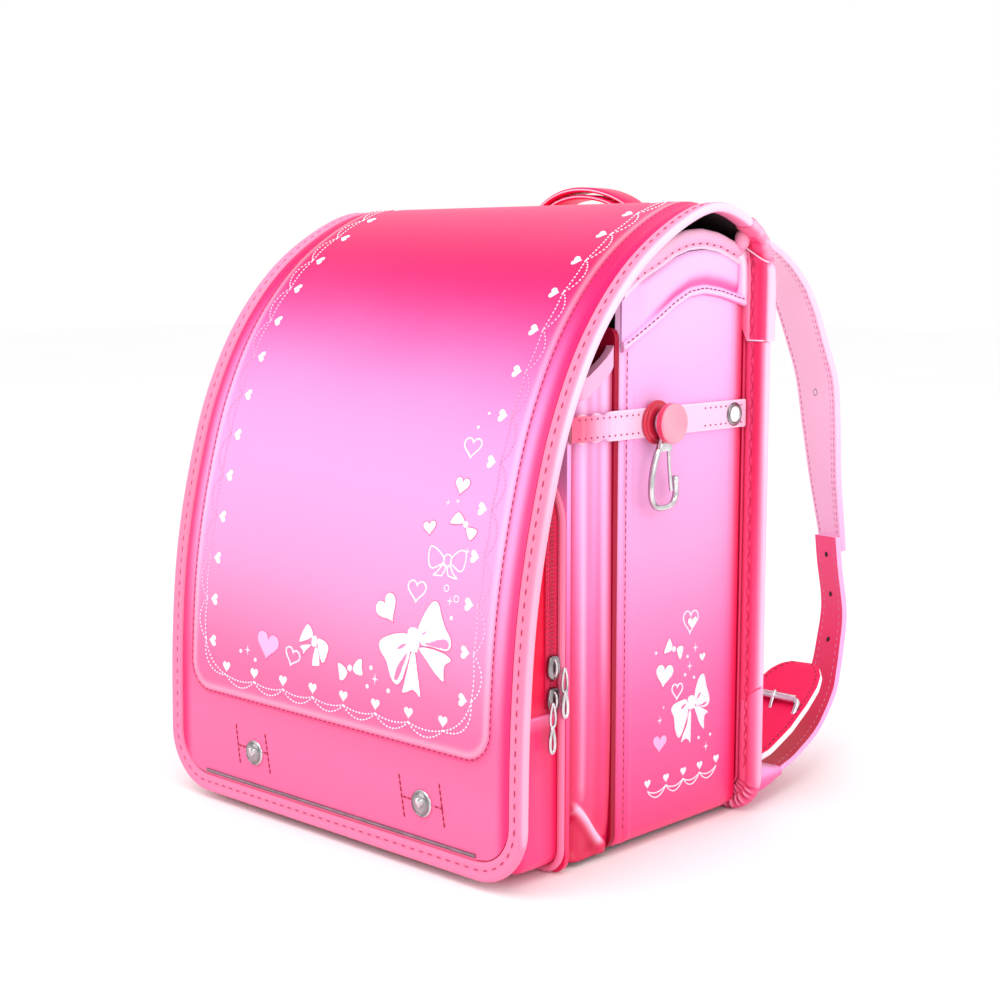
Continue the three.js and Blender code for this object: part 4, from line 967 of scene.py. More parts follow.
# The top binding gets painted shade along its seam and a painted highlight along its rounded edges.
pair("top_binding_leather", side_top_binding_shape(), [pale_binding], "binding_leather", ["side_top_binding"],
     sharp=60, deep=lambda x, y, z: 0.35 * bump(top_binding_level(y, z) - 2.6, 1.6),
     bright=lambda x, y, z: 0.9 * bump(top_binding_level(y, z), 1.3) + 0.5 * ease((top_binding_level(y, z) - 6) / 4))


def binding_tail_shape():
    """The top binding's rear end, turned down behind the cap."""
    line = smooth_line([Vector((0, 42.5, 283.8)), Vector((0, 45.4, 279.5)), Vector((0, 46.2, 272)),
                        Vector((0, 46.4, 265.5)), Vector((0, 46.8, 260.5))], 6)
    rings = []
    for i, place in enumerate(line):
        run = (line[min(i + 1, len(line) - 1)] - line[max(i - 1, 0)]).normalized()
        wide = 4.4 * (1 - 0.45 * ease((i - 17) / 6))
        centre = Vector((SIDE_X + 0.9, place.y, place.z))
        rings.append(section_ring(rounded_section(wide, 3.4, 1.5, 3), centre, Vector((0, run.z, -run.y)) * -1,
                                  Vector((1, 0, 0))))
    return loft(rings)


# The turned-down tail gets a painted highlight on its front and painted shade at its back.
pair("top_binding_tail", binding_tail_shape(), [pale_binding], "binding_leather", [], sharp=60,
     bright=lambda x, y, z: 0.6 * ease((46.5 - y) / 2), deep=lambda x, y, z: 0.4 * ease((y - 47) / 1.5))

# The small compartment: a gusset that folds out between the case and its front wall

PARTITION, SMALL_BACK, SMALL_FACE = -51.7, -81.7, -84.4
GUSSET_PLAN = [(0, 0.96, 0), (0.05, 1.0, 0.12), (0.16, 0.95, 0.34), (0.35, 0.9, 0.6), (0.6, 1, 0.85),
               (0.72, 0.92, 0.91), (0.82, 0.5, 0.95), (1, 0.12, 1)]
FOOT_FOLD = [(-75, 27), (-60, 9.3), (-50, 0.5)]
GUSSET_RISE = [(0, 0.66), (6, 0.8), (16, 0.95), (30, 1.02), (60, 1.08), (110, 1.05), (216, 0.95), (242, 0.95)]


def gusset_x(along, z):
    y = lerp(PARTITION - 0.3, SMALL_BACK + 0.3, along)
    below = (table(FOOT_FOLD, y) - z) * 0.66
    fold = 2.4 * bump(below, 1.6) - 2.6 * ease((below - 1) / 4) * ease((z - 1) / 4)
    return 110 + 7 * smooth_gusset(along) * table(GUSSET_RISE, z) + fold * ease((along - 0.03) / 0.1) * ease((0.95 - along) / 0.1)


gusset_curve = smooth_line([(share, bulge, 0) for share, bulge, _ in GUSSET_PLAN], 10)


def smooth_gusset(along):
    return table([(p.x, p.y) for p in gusset_curve], along)


def gusset_shape(low, high, thickness, proud):
    """Wall of the gusset between two heights, each a number or a function of the place along it."""
    alongs = steps(0, 1, 0.032)
    rises = steps(0, 0.14, 0.0058) + [0.17, 0.22, 0.28, 0.36, 0.46, 0.58, 0.7, 0.82, 0.92, 1]
    rings = []
    for share in rises:
        outer, inner = [], []
        for along in alongs:
            z = lerp(low(along), high(along), share)
            y = lerp(PARTITION - 0.3, SMALL_BACK + 0.3, along)
            x = gusset_x(along, z)
            outer.append(at(x + proud, y, z))
            inner.append(at(x - thickness, y, z))
        rings.append(outer + inner[::-1])
    return loft(rings)


def gusset_top(along):
    return 242 - 16 * table(GUSSET_PLAN, along, 2)


def gusset_shade(x, y, z):
    """Painted shade along both folds and under the crease at the foot."""
    below = table(FOOT_FOLD, y) - z
    high = ease((z - 110) / 60)
    return (0.85 * bump(y + 53, 2.2) + 0.3 * bump(y + 60.5, 2.0) + lerp(0.8, 1, high) * ease((-74.5 - y) / 2.5)
            + 0.6 * ease((below - 2) / 3) * ease((-54 - y) / 4) + 0.35 * high * bump(y + 68, 3))


# Painted highlight along the ridges of the folds and on the crease at the foot.
def gusset_shine(x, y, z):
    crease = table(FOOT_FOLD, y) - z
    return (lerp(0.3, 0.5, ease((z - 60) / 60)) * bump(y + 72, 1.8) * ease((z - 26) / 10) + 0.35 * bump(y + 57, 2.2) * ease((z - 60) / 60)
            + 1.3 * bump(crease - 0.3, 2.0) * ease((-56 - y) / 5) * ease((y + 77) / 3))


pair("gusset_leather", gusset_shape(lambda a: 0.0, lambda a: gusset_top(a) - 9.8, 2.5, 0.0), [gusset_leather],
     "pearl_leather", ["small_gusset"], deep=gusset_shade, bright=gusset_shine)
pair("gusset_binding_leather", gusset_shape(lambda a: gusset_top(a) - 9.5, gusset_top, 3.4, 0.9), [pale_binding],
     "binding_leather", ["gusset_binding"])


# The zipped pocket

POCKET_BACK, POCKET_HALF, POCKET_FOOT, POCKET_TOP = -84.7, 114.5, 0.9, 188.0
POCKET_LEAN = [(0, 0.9), (0.04, 0.97), (0.1, 1), (0.3, 1), (0.5, 0.98), (0.66, 0.88), (0.78, 0.76), (0.88, 0.62),
               (0.95, 0.5), (1, 0.4)]


def pocket_front(z):
    share = (z - POCKET_FOOT) / (POCKET_TOP - POCKET_FOOT)
    return POCKET_BACK - 31 * table(POCKET_LEAN, share)


POCKET_SEAM = 76.0


def pocket_outline(grow, low=9.0, top=26.0, per=8, foot_extra=0.0):
    """Half outline, from the middle of the foot round the right to the middle of the top."""
    foot_grow = grow + foot_extra
    line = [Vector((x, 0, POCKET_FOOT - grow)) for x in steps(0, POCKET_HALF - low, 18)[:-1]]
    for i in range(per + 1):
        angle = math.radians(-90 + 90 * i / per)
        line.append(Vector((POCKET_HALF - low + (low + foot_grow) * math.cos(angle), 0,
                            POCKET_FOOT + low + (low + grow) * math.sin(angle))))
    sag = lambda z: 0.35 * foot_extra * bump(z - 66, 9)
    line += [Vector((POCKET_HALF + foot_grow - sag(z), 0, z))
             for z in steps(POCKET_FOOT + low, POCKET_SEAM - 2.2, 6)[1:]]
    line += [Vector((POCKET_HALF + foot_grow + foot_extra * 0.5, 0, POCKET_SEAM - 1.2)),
             Vector((POCKET_HALF + foot_grow + foot_extra * 0.3, 0, POCKET_SEAM - 0.3)),
             Vector((POCKET_HALF + grow, 0, POCKET_SEAM))]
    line += [Vector((POCKET_HALF + grow, 0, z)) for z in steps(POCKET_SEAM, POCKET_TOP - top, 8)[1:-1]]
    for i in range(per + 5):
        angle = math.radians(90 * i / (per + 4))
        line.append(Vector((POCKET_HALF - top + (top + grow) * math.cos(angle), 0,
                            POCKET_TOP - top + (top + grow) * math.sin(angle))))
    line += [Vector((x, 0, POCKET_TOP + grow)) for x in steps(POCKET_HALF - top, 0, 18)[1:]]
    return line


def whole_outline(half):
    return half + [Vector((-p.x, p.y, p.z)) for p in half[1:-1]][::-1]


def pocket_shape():
    rings = []
    for depth, grow, extra in ((0, 0, 0.1), (0.08, 0, 0.8), (0.3, 0.1, 0.9), (0.5, 0.2, 0.9), (0.78, 0, 0.9),
                               (0.86, -0.4, 0.8), (0.92, -1.1, 0.6), (0.96, -2.2, 0.3), (0.985, -3.6, 0), (1, -6, 0)):
        ring = [at(p.x, lerp(POCKET_BACK, pocket_front(p.z), depth), p.z)
                for p in whole_outline(pocket_outline(grow, foot_extra=extra))]
        rings.append(ring)
    for shrink in (0.8, 0.55, 0.3, 0.08):
        rings.append([at(p.x * shrink, pocket_front(lerp(94, p.z, shrink)), lerp(94, p.z, shrink))
                      for p in whole_outline(pocket_outline(-6))])
    seam = [p.z for p in whole_outline(pocket_outline(0))]
    finish = [1 if min(z, seam[(i + 1) % len(seam)]) < POCKET_SEAM - 0.1 else 0 for i, z in enumerate(seam)]
    return loft(rings, finish=finish)


# Painted shade: darker towards the pocket's back edge, and in a wave of gathers below the seam.
def pocket_shade(x, y, z):
    gathers = 0.5 + 0.5 * math.sin(y * 0.55 + z * 0.04)
    return 0.8 * ease((y + 95) / 8) + 0.35 * gathers * ease((POCKET_SEAM - z) / 4) * ease((z - 8) / 40)


# A painted highlight along the seam and on the pocket's lower front.
build("pocket_leather", [pocket_shape()], [pocket_leather, pocket_low_leather], slot="hot_pink_leather",
      replaces=["pocket_shell"], deep=pocket_shade,
      bright=lambda x, y, z: 0.9 * bump(z - POCKET_SEAM + 1.4, 1.0) + 0.3 * bump(y + 104, 4) * ease((60 - z) / 20))


def cord_round_pocket(grow, depth, radius):
    line = whole_outline(pocket_outline(grow))
    return wire([Vector((p.x, depth, p.z)) for p in line], radius, True, 10, Vector((0, 1, 0)))


build("pocket_piping_leather", [cord_round_pocket(2.1, POCKET_BACK - 1.8, 1.8)], [binding_leather],
      slot="binding_leather", replaces=["pocket_piping"])

# Its zipper: a tape with two rows of stitches, moulded teeth, two sliders and their pulls

ZIP_Y, ZIP_FOOT, ZIP_FACE = -92.1, 78.0, 116.1


def zip_line(out):
    """Points and ways out of the zipper's middle line, over the top of the pocket from side to side."""
    half = [p for p in pocket_outline(0) if p.z >= ZIP_FOOT]
    half.insert(0, Vector((POCKET_HALF, 0, ZIP_FOOT)))
    line = even_line(half + [Vector((-p.x, 0, p.z)) for p in half[:-1]][::-1], 4)
    points, ways = [], []
    for i, p in enumerate(line):
        run = (line[min(i + 1, len(line) - 1)] - line[max(i - 1, 0)]).normalized()
        way = Vector((run.z, 0, -run.x))
        points.append(Vector((p.x, ZIP_Y, p.z)) + way * out)
        ways.append(way)
    return points, ways


def zip_tape_shape():
    points, ways = zip_line(0.75)
    section = [(-4, -0.5), (-4, 0.3), (-2.0, 0.5), (-1.6, 0.25), (1.6, 0.25), (2.0, 0.5), (4, 0.3), (4, -0.5)]
    return loft([section_ring(section, p, Vector((0, 1, 0)), way) for p, way in zip(points, ways)])


build("zipper_tape", [zip_tape_shape()], [tape], slot="zipper_tape", replaces=["zipper"])
teeth_points, teeth_ways = zip_line(1.1)
teeth_points = [at(*p) for p in teeth_points]
sew("zipper_teeth", rows_along(teeth_points, teeth_ways, 1.9), 1.25, 3.6, 1.2, zip_teeth)
zip_seams = []
for side in (-3.1, 3.1):
    zip_seams += rows_along([p + Vector((0, side * MM, 0.0)) for p in teeth_points], teeth_ways, 2.6)
sew("zipper_seams", zip_seams, 1.9, 0.5, 0.5, red_thread)


def slider_shape(level):
    """Slider: a waisted plate with an arched bridge over it."""
    outline = smooth_loop([(-1.2, -5.4), (-3.9, -2.6), (-3.9, 2.4), (-2.4, 5.4), (2.4, 5.4), (3.9, 2.4),
                           (3.9, -2.6), (1.2, -5.4)], 3)
    rings = []
    for out, grow in ((0, 1), (1.1, 1), (1.6, 0.93), (1.75, 0.8)):
        rings.append([at(ZIP_FACE + out, ZIP_Y + a * grow, level + b * grow) for a, b in outline])
    bridge = wire([Vector((ZIP_FACE + 1.2 + 1.5 * math.sin(a), ZIP_Y, level + 3.6 * math.cos(a)))
                   for a in (math.radians(v) for v in steps(0, 180, 20))], 0.75, False, 8, Vector((0, 1, 0)))
    return [loft(rings, finish=1), bridge]


def pull_shape(level, forward):
    """Pull: a pear-shaped wire link with a long oval drop on it."""
    shapes = []
    x, y = ZIP_FACE + 4.0, ZIP_Y + forward
    for top, length, half, radius in ((level + 0.4, 12.6, 2.3, 0.7), (level - 10.8, 13.4, 2.1, 0.95)):
        loop = []
        for i in range(24):
            a = 2 * math.pi * i / 24
            fall = (1 - math.cos(a)) / 2
            loop.append(Vector((x, y + half * math.sin(a) * (0.45 + 0.55 * fall), top - radius - fall
                                * (length - 2 * radius))))
        shapes.append(wire(loop, radius, True, 8, Vector((1, 0, 0))))
        y += forward * 0.1
    shapes.append(turned([(0, -1.5), (1.0, -1.2), (1.25, 0), (1.0, 1.2), (0, 1.5)], (x, y, level - 11.4), (0, 0, 1), 12))
    return shapes


for name, level, forward in (("upper", 97.0, 4.0), ("lower", 82.0, -4.0)):
    build(f"zip_slider_{name}_metal", slider_shape(level), [nickel, dark_nickel], slot="nickel",
          replaces=[f"zip_slider_{name}"], sharp=50)
    build(f"zip_pull_{name}_metal", pull_shape(level, forward), [nickel], slot="nickel",
          replaces=[f"zip_pull_{name}"], sharp=50)


def side_place(y, z, lift=0.0):
    return at(SIDE_X + side_relief(y, z) + lift, y, z)


# The embroidery on the flap and the sides

FLAP_BOW_BIG = [
    [(61, 110), (62.5, 115), (65.5, 120.5), (69, 124.8), (72, 125.3), (74, 123.5), (76, 119), (79, 114),
     (82.5, 110), (83.3, 106), (81, 103.6), (77.5, 103.4), (70, 104), (64, 104)],
    [(54.5, 107.5), (48, 107.3), (42, 105.5), (37, 103), (35.3, 100.5), (36.5, 97), (41, 92.5), (43.5, 87),
     (46.5, 83.5), (49.5, 83), (52, 85.5), (53.5, 88.5), (57, 99.5)],
    [(62.5, 102), (68, 103.4), (79, 102.3), (84, 99.8), (80.2, 97), (79.5, 93.5), (79.5, 89.2), (74, 92),
     (68, 97)],
    [(57.5, 99.5), (60, 100), (62, 93), (65, 80), (61.5, 81.5), (59, 82), (55.5, 80.3), (52.5, 80), (53.5, 84),
     (55.5, 92)],
]
FLAP_BOW_HOLES = [
    [(63.5, 109), (66, 110.5), (68.5, 112.3), (66, 109.2)],
    [(66, 104.8), (73, 107.5), (79, 109), (82, 107.5), (81.5, 105), (78, 104.2)],
    [(48, 99.8), (51, 102.5), (54.5, 103.2), (51.5, 100.5)],
    [(47, 86), (48.5, 91), (52, 96), (55.5, 99.3), (53, 92.5), (50.5, 87), (48.5, 84.8)],
]
FLAP_BOW_SMALL = [
    [(-12.5, 96.5), (-14, 101), (-17, 102.3), (-19.5, 99.5), (-22, 95), (-21.8, 92.5)],
    [(-9, 96), (-4, 96), (-0.5, 93.5), (-1, 90), (-3, 85.5), (-5, 85), (-7.5, 89)],
    [(-13, 92.5), (-18, 92), (-22, 90.5), (-19.5, 88.5), (-19.5, 86.3), (-17, 89)],
    [(-10.5, 91.5), (-8, 91), (-6.5, 83.5), (-9, 82.5), (-12, 82.3), (-12, 86)],
]
FLAP_BOW_TIES = [
    [(73.5, 161.5), (77, 167), (80.5, 166), (82.5, 162.5)],
    [(85, 161), (91.5, 160), (88, 155), (84.5, 159)],
    [(7, 86.8), (11, 86), (14, 83.5), (13, 80.5), (10.5, 78.5), (8.5, 79), (7.5, 83)],
    [(18, 87), (21, 90.5), (24, 91), (24.3, 87), (25, 83.5), (21, 83), (18, 84.5)],
]
FLAP_BOW_OUTLINE = [
    [(72.5, 146), (68, 149), (64, 150), (63, 146.5), (63.8, 142), (66, 140), (70, 141.5), (73, 143.5)],
    [(78, 146), (82, 149.5), (86, 150), (87, 146.5), (86.2, 142), (84, 140.5), (80.5, 142), (78, 143.5)],
    [(73, 142.5), (70, 139), (67.5, 137), (71, 137.2), (73, 137.5), (75, 141.5)],
    [(77.5, 142.5), (80, 139), (83, 137), (79.5, 137.3), (77, 138), (76, 141.5)],
]
SIDE_BOW = [
    [(12, 66), (14, 72), (17, 75.5), (20, 75), (22, 69), (24.5, 63), (24.2, 59.5), (21.5, 58), (17, 58.8),
     (13, 60.5)],
    [(6, 64.5), (0, 65), (-5, 64), (-6.8, 61.5), (-4.5, 57), (-3.5, 51), (-1.5, 47), (0.5, 46.3), (3, 49),
     (7, 57)],
    [(12, 60), (18, 58.5), (23.8, 55), (21, 54), (20.3, 51), (20.2, 46.8), (17, 49.5), (14, 55)],
    [(7.5, 58), (9.5, 58), (9.5, 50), (9.2, 41.8), (7.5, 43.5), (5, 44.6), (1.5, 43.5), (2.8, 47), (6, 52)],
]
SIDE_BOW_HOLES = [
    [(13, 60.9), (17, 60.2), (21, 61), (22, 60.3), (20, 59.3), (16, 59.6)],
    [(13.2, 63.4), (15, 66), (17.2, 66.6), (15.4, 64.2)],
    [(0.4, 60.6), (2.6, 62.6), (5.2, 62.8), (2.8, 60.8)],
]
SIDE_BOW_TIE = [
    [(-13, 91), (-9.5, 97.5), (-8, 97.5), (-6, 92)],
    [(-3, 91.5), (0, 93), (2.5, 92), (2, 89), (0.5, 86), (-1, 86.5)],
]


def knot(x, y, width, height):
    return smooth_loop([(x - width / 2, y), (x - width * 0.35, y + height / 2), (x + width * 0.35, y + height / 2),
                        (x + width / 2, y), (x + width * 0.35, y - height / 2), (x - width * 0.35, y - height / 2)])


def flap_embroidery():
    shapes = []
    for loops, centre in ((FLAP_BOW_BIG, (58.5, 105.5, 8.5, 10.5)), (FLAP_BOW_SMALL, (-11, 94.5, 4.2, 5))):
        for loop in loops:
            shapes += motif(smooth_loop(loop), flap_place)
        shapes.append(patch(knot(*centre), flap_place, height=0.7))
    for loop in FLAP_BOW_TIES:
        shapes += motif(smooth_loop(loop), flap_place)
    for x, up in ((83.5, 162), (15.5, 85.5)):
        shapes.append(patch(disc(x, up, 1.7), flap_place, height=0.6))
    for loop in FLAP_BOW_HOLES:
        shapes.append(patch(smooth_loop(loop), flap_place, height=0.16, edge=0.5, finish=3, lift=0.32))
    for x, up, width, height, tilt in ((77, 179, 9.5, 8.5, -5), (61, 158, 8.5, 7, 12), (40, 117, 15, 14, 38)):
        shapes += motif(heart(x, up, width, height, tilt), flap_place)
    shapes += motif(heart(-47, 86.5, 17.5, 14.5, -8), flap_place, satin=1)
    for x, up, width, height, tilt in ((78.5, 197, 11, 9.5, 0), (58, 128, 12, 10, 0), (-27.5, 84, 11, 8.8, -15)):
        shapes.append(traced(heart(x, up, width, height, tilt), flap_place, 0.9, 0.35))
    for loop in FLAP_BOW_OUTLINE:
        shapes.append(traced(smooth_loop(loop), flap_place, 0.8, 0.3))
    shapes.append(traced(knot(75.5, 144.5, 4.4, 5), flap_place, 0.8, 0.3))
    for x, up, radius in ((77, 132, 1.5), (84, 128, 1.5)):
        shapes.append(traced(disc(x, up, radius), flap_place, 0.6, 0.25))
    for x, up, radius in ((82, 119, 1.1), (43, 79, 1.2), (-68.5, 81, 1.1), (-56.5, 78.2, 1.1), (30.5, 88, 1.2),
                          (28.3, 78.7, 1.1), (79, 207, 0.9), (83.5, 214, 0.8), (76, 172, 0.8)):
        shapes.append(patch(disc(x, up, radius), flap_place, edge=0.6))
    for x, up, radius in ((80, 126.5, 2.4), (-63, 82.3, 2.8), (33.5, 83, 3.0), (87, 150, 2.0), (70, 171, 1.8)):
        shapes.append(patch(sparkle(x, up, radius), flap_place, edge=0.5))
    return shapes


def side_embroidery():
    shapes = []
    for loop in SIDE_BOW + SIDE_BOW_TIE:
        shapes += motif(smooth_loop(loop), side_place)
    shapes.append(patch(knot(9.5, 62.5, 6, 6.5), side_place, height=0.7))
    shapes.append(patch(disc(-5, 92, 1.5), side_place, height=0.6))
    for loop in SIDE_BOW_HOLES:
        shapes.append(patch(smooth_loop(loop), side_place, height=0.16, edge=0.5, finish=3, lift=0.32))
    for y, z, width, height, tilt in ((-12.5, 79.5, 14, 12, -10), (9.5, 102.5, 8, 7, 0), (18, 84, 5, 5, 0)):
        shapes += motif(heart(y, z, width, height, tilt), side_place)
    shapes += motif(heart(-15.5, 46, 11, 9, -6), side_place, satin=1)
    for y, z, width, height in ((-2, 70, 8.5, 8), (8, 103.5, 12, 11.5)):
        shapes.append(traced(heart(y, z, width, height, -4), side_place, 0.9, 0.35))
    for y, z in ((16, 43.2), (25.6, 43), (-19, 92.2), (4.2, 77.5), (11.5, 75), (6, 86.5)):
        shapes.append(patch(disc(y, z, 0.9), side_place, edge=0.5))
    for y, z, radius in ((22.3, 37.5, 2.6), (12.5, 90, 2.6), (8, 81.3, 2.6), (-15.3, 58, 2.4), (-12.5, 64, 1.3)):
        shapes.append(patch(sparkle(y, z, radius), side_place, edge=0.5))
    for y, z in SIDE_HEARTS:
        shapes.append(patch(heart(y, z, 4.6, 4.4), side_place, edge=0.6))
    for (ya, za), (yb, zb) in zip(SIDE_HEARTS, SIDE_HEARTS[1:]):
        for sag, foot in ((2.2, 3.4), (4.6, 3.4)):
            arc_line = [(lerp(ya, yb, t), lerp(za, zb, t) - foot - sag * math.sin(math.pi * t) ** 0.8)
                        for t in steps(0, 1, 0.08)]
            shapes.append(traced(arc_line, side_place, 0.7, 0.28, closed=False))
    return shapes


SIDE_HEARTS = [(-24.5, 27.7), (-10, 27.8), (3.8, 28.1), (17.2, 28.4), (31, 29)]
build("flap_embroidery", flap_embroidery(), [white_thread, pink_thread, patch_shadow_thread, pearl_flap], sharp=50)
side_work = side_embroidery()
for side, shapes in (("right", side_work), ("left", [mirrored(shape) for shape in side_work])):
    build(f"side_embroidery_{side}", shapes, [white_thread, pink_thread, patch_shadow_thread, pearl_side], sharp=50)

# The scalloped border of hearts and dots on the flap

COLUMN_X, COLUMN_FOOT, COLUMN_PITCH, COLUMN_COUNT = 97.5, 83.0, 21.75, 14
ROW_UP, ROW_PITCH, ROW_HEARTS = 66.8, 22.86, 8


def scallop(start, end, sag, out, pitch=2.2):
    """Dotted arc between two places on the flap, sagging along a flat direction."""
    path = []
    for t in steps(0, 1, 0.05):
        drop = sag * math.sin(math.pi * t) ** 0.75
        path.append((lerp(start[0], end[0], t) + out[0] * drop, lerp(start[1], end[1], t) + out[1] * drop))
    return sewn_path(flap_place, path, pitch, lift=0.12)


border_rows, border_hearts = [], []
for side in (1, -1):
    for k in range(COLUMN_COUNT):
        up = COLUMN_FOOT + COLUMN_PITCH * k
        border_hearts.append(patch(heart(side * 92.4, up, 6.2, 5.8, side * 90), flap_place, edge=0.7))
        for sag in (1.2, 6.0):
            border_rows += scallop((side * COLUMN_X, up), (side * COLUMN_X, up + COLUMN_PITCH), sag, (side, 0))
    corner = ((side * (3.5 * ROW_PITCH), ROW_UP), (side * COLUMN_X, COLUMN_FOOT))
    for sag in (3.6, 7.2):
        border_rows += scallop(*corner, sag, (side * 0.72, -0.7))
for j in range(ROW_HEARTS):
    x = (j - (ROW_HEARTS - 1) / 2) * ROW_PITCH
    border_hearts.append(patch(heart(x, 70.8, 6.0, 5.6), flap_place, edge=0.7))
    if j + 1 < ROW_HEARTS:
        for sag in (1.8, 5.1):
            border_rows += scallop((x, ROW_UP), (x + ROW_PITCH, ROW_UP), sag, (0, -1))
build("flap_border_hearts", border_hearts, [white_thread], sharp=50)
sew("flap_border_dots", border_rows, 1.5, 0.9, 0.6, border_thread)

# Seams of the flap, its binding and the sides

panel_corner = PANEL_HALF - PANEL_CORNER
panel_path = [(PANEL_HALF, up) for up in steps(CROWN_LENGTH - 66, PANEL_FOOT + PANEL_CORNER, 6)]
panel_path += [(panel_corner + PANEL_CORNER * math.cos(a), PANEL_FOOT + PANEL_CORNER * (1 - math.sin(a)))
               for a in (math.radians(v) for v in steps(0, 90, 9))][1:]
panel_path += [(x, PANEL_FOOT) for x in steps(panel_corner, -panel_corner, 8)[1:]]
panel_path += [(-x, up) for x, up in panel_path[::-1] if x > panel_corner - 0.01][1:]
sew("flap_panel_seam", sewn_path(flap_place, panel_path, 3.5, lift=0.05), 2.7, 0.75, 0.6, red_thread)

binding_frames = [binding_frame(*row) for row in binding_path(3.0)]
seam_points = [at(*(centre - across * 0.9 + out * 1.95)) for centre, across, out in binding_frames]
sew("flap_binding_seam", rows_along(seam_points, [out for _, _, out in binding_frames], 6.0), 3.4, 0.95, 0.7,
    rose_thread)

H_MARKS = [((-74.3, 41.5), (-71, 19.7)), ((-50.7, 40.6), (-46.6, 19.6)), ((49.3, 40.2), (53.2, 19.2)),
           ((76.3, 41), (80.2, 19.1)), ((-72.2, 30.6), (-66.5, 30.4)), ((-52, 30.4), (-48.8, 30.4)),
           ((51.8, 29.6), (57.5, 29.4)), ((73.2, 29.3), (78, 29.2))]
h_rows = []
for mark in H_MARKS:
    h_rows += sewn_path(flap_place, mark, 3.0, lift=0.15)
sew("flap_fastening_stitches", h_rows, 2.8, 0.9, 0.7, red_thread)

side_seam = sewn_path(side_place, [(-42.6, 9), (-42.6, 236), (-42.2, 266)], 3.6, lift=0.02)
sew("side_front_seam", both_sides(side_seam), 3.0, 0.8, 0.6, red_thread, wander=0.12)


def cap_place(y, z, lift=0.0):
    return at(SIDE_X + 1.85 + lift, y, z)


wave_line = [(y, table(WAVE_LOW, y) + 3.2) for y in steps(-46, 46.5, 1)]
sew("cap_wave_seam", both_sides(sewn_path(cap_place, wave_line, 3.4)), 2.3, 0.75, 0.6, red_thread)

top_line = [(y, table(TOP_LOW, y) + 2.9) for y in steps(-44, 43, 1)]


def top_binding_place(y, z, lift=0.0):
    return at(SIDE_X + 0.75 + lift, y, z)


sew("top_binding_seam", both_sides(sewn_path(top_binding_place, top_line, 5.6)), 1.9, 1.0, 0.7, rose_thread)

# Heart-stamped studs on the flap

def stud(x, up):
    place, out, along = crown_at(up)
    place = Vector((x, place.y, place.z)) - out * (PANEL_RISE + 0.1)
    profile = [(0, -0.4), (6.6, -0.4), (6.8, 0.4), (6.5, 1.1), (5.7, 1.55), (5.3, 1.35), (5.0, 1.5), (3.4, 2.0),
               (0.02, 2.2)]

    def stud_place(a, b, lift=0.0):
        dome = 1.5 + 0.7 * max(1 - math.hypot(a, b) / 5.2, 0) ** 0.5
        return at(*(place + Vector((a, 0, 0)) + along * -b + out * (dome + lift)))

    raised = patch(heart(0, 0.2, 6.4, 5.8), stud_place, height=0.75, edge=1.1, grid=1.4)
    return [turned(profile, place, out, 36), raised]


def stud_shade(middle):
    """Painted shade in the groove of the stud's edge and round its raised heart."""
    place, out, _ = crown_at(28.9)
    place = Vector((middle, place.y, place.z)) - out * (PANEL_RISE + 0.1)

    def share(x, y, z):
        spot = Vector((x, y, z)) - place
        height = spot.dot(out)
        radius = (spot - out * height).length
        dome = 1.5 + 0.7 * max(1 - radius / 5.2, 0) ** 0.5
        return 0.8 * bump(radius - 5.5, 0.45) + (0.45 if radius < 5.1 and height < dome + 0.25 else 0)

    return share


for side, x in (("right", 65.0), ("left", -59.0)):
    build(f"heart_stud_{side}", stud(x, 28.9), [nickel], slot="nickel", replaces=[f"heart_stud_{side}"], sharp=50,
          deep=stud_shade(abs(x)))

# The rolled rim round the back: a flat stitched flange inside a fat roll, gathered at the lower corners

RIM_MIDDLE, RIM_Y, RIM_FOOT, RIM_TOP, RIM_BEND = 124.1, 52.5, -3.0, 240.5, 13.9


RIM_SECTION = [(-6.1, 0), (-6.0, 1.6), (-5.4, 2.5), (-3.6, 2.7), (-1.8, 2.5), (-1.2, 2.3), (-0.6, 2.8), (0.6, 3.5),
               (1.5, 3.85), (2.6, 3.9), (3.8, 3.6), (5.1, 2.8), (6.1, 0.8), (6.1, -1.2), (5.0, -3.0), (3.0, -3.7),
               (0, -3.8), (-4.6, -3.6), (-6.0, -2.4)]
GATHER_PITCH = 12.5


def gather(turn):
    """Height of the gathers round a lower corner, from 0 in a crease to 1, at a turn in degrees."""
    return 0.5 + 0.5 * math.cos(2 * math.pi * (turn / GATHER_PITCH + 0.12 * math.sin(turn * 0.21)))


def corner_turn(x, z):
    inner = RIM_MIDDLE - RIM_BEND
    return math.degrees(math.atan2((RIM_FOOT + 6.1 + RIM_BEND) - z, x - inner)) if x > inner else 90 + (inner - x) * 4


def gathered(turn):
    return ease((turn - 8) / 16) * ease((170 - turn) / 30)


def rim_line(side_step=4.0, bend_step=1.8):
    """Middle line of the rim with its way out, from the right top down, along the foot and up to the left top."""
    low = RIM_FOOT + 6.1
    right = [(Vector((RIM_MIDDLE, RIM_Y, z)), Vector((1, 0, 0)), 0.0)
             for z in steps(RIM_TOP, low + RIM_BEND, side_step)[:-1]]
    for turn in steps(0, 90, bend_step):
        angle = math.radians(turn)
        out = Vector((math.cos(angle), 0, -math.sin(angle)))
        right.append((Vector((RIM_MIDDLE - RIM_BEND, RIM_Y, low + RIM_BEND)) + out * RIM_BEND, out, turn))
    right += [(Vector((x, RIM_Y, low)), Vector((0, 0, -1)), 90 + (RIM_MIDDLE - RIM_BEND - x) * 4)
              for x in steps(RIM_MIDDLE - RIM_BEND, 0, 2)[1:]]
    flip = lambda v: Vector((-v.x, v.y, v.z))
    return right + [(flip(place), flip(out), turn) for place, out, turn in right[:-1]][::-1]


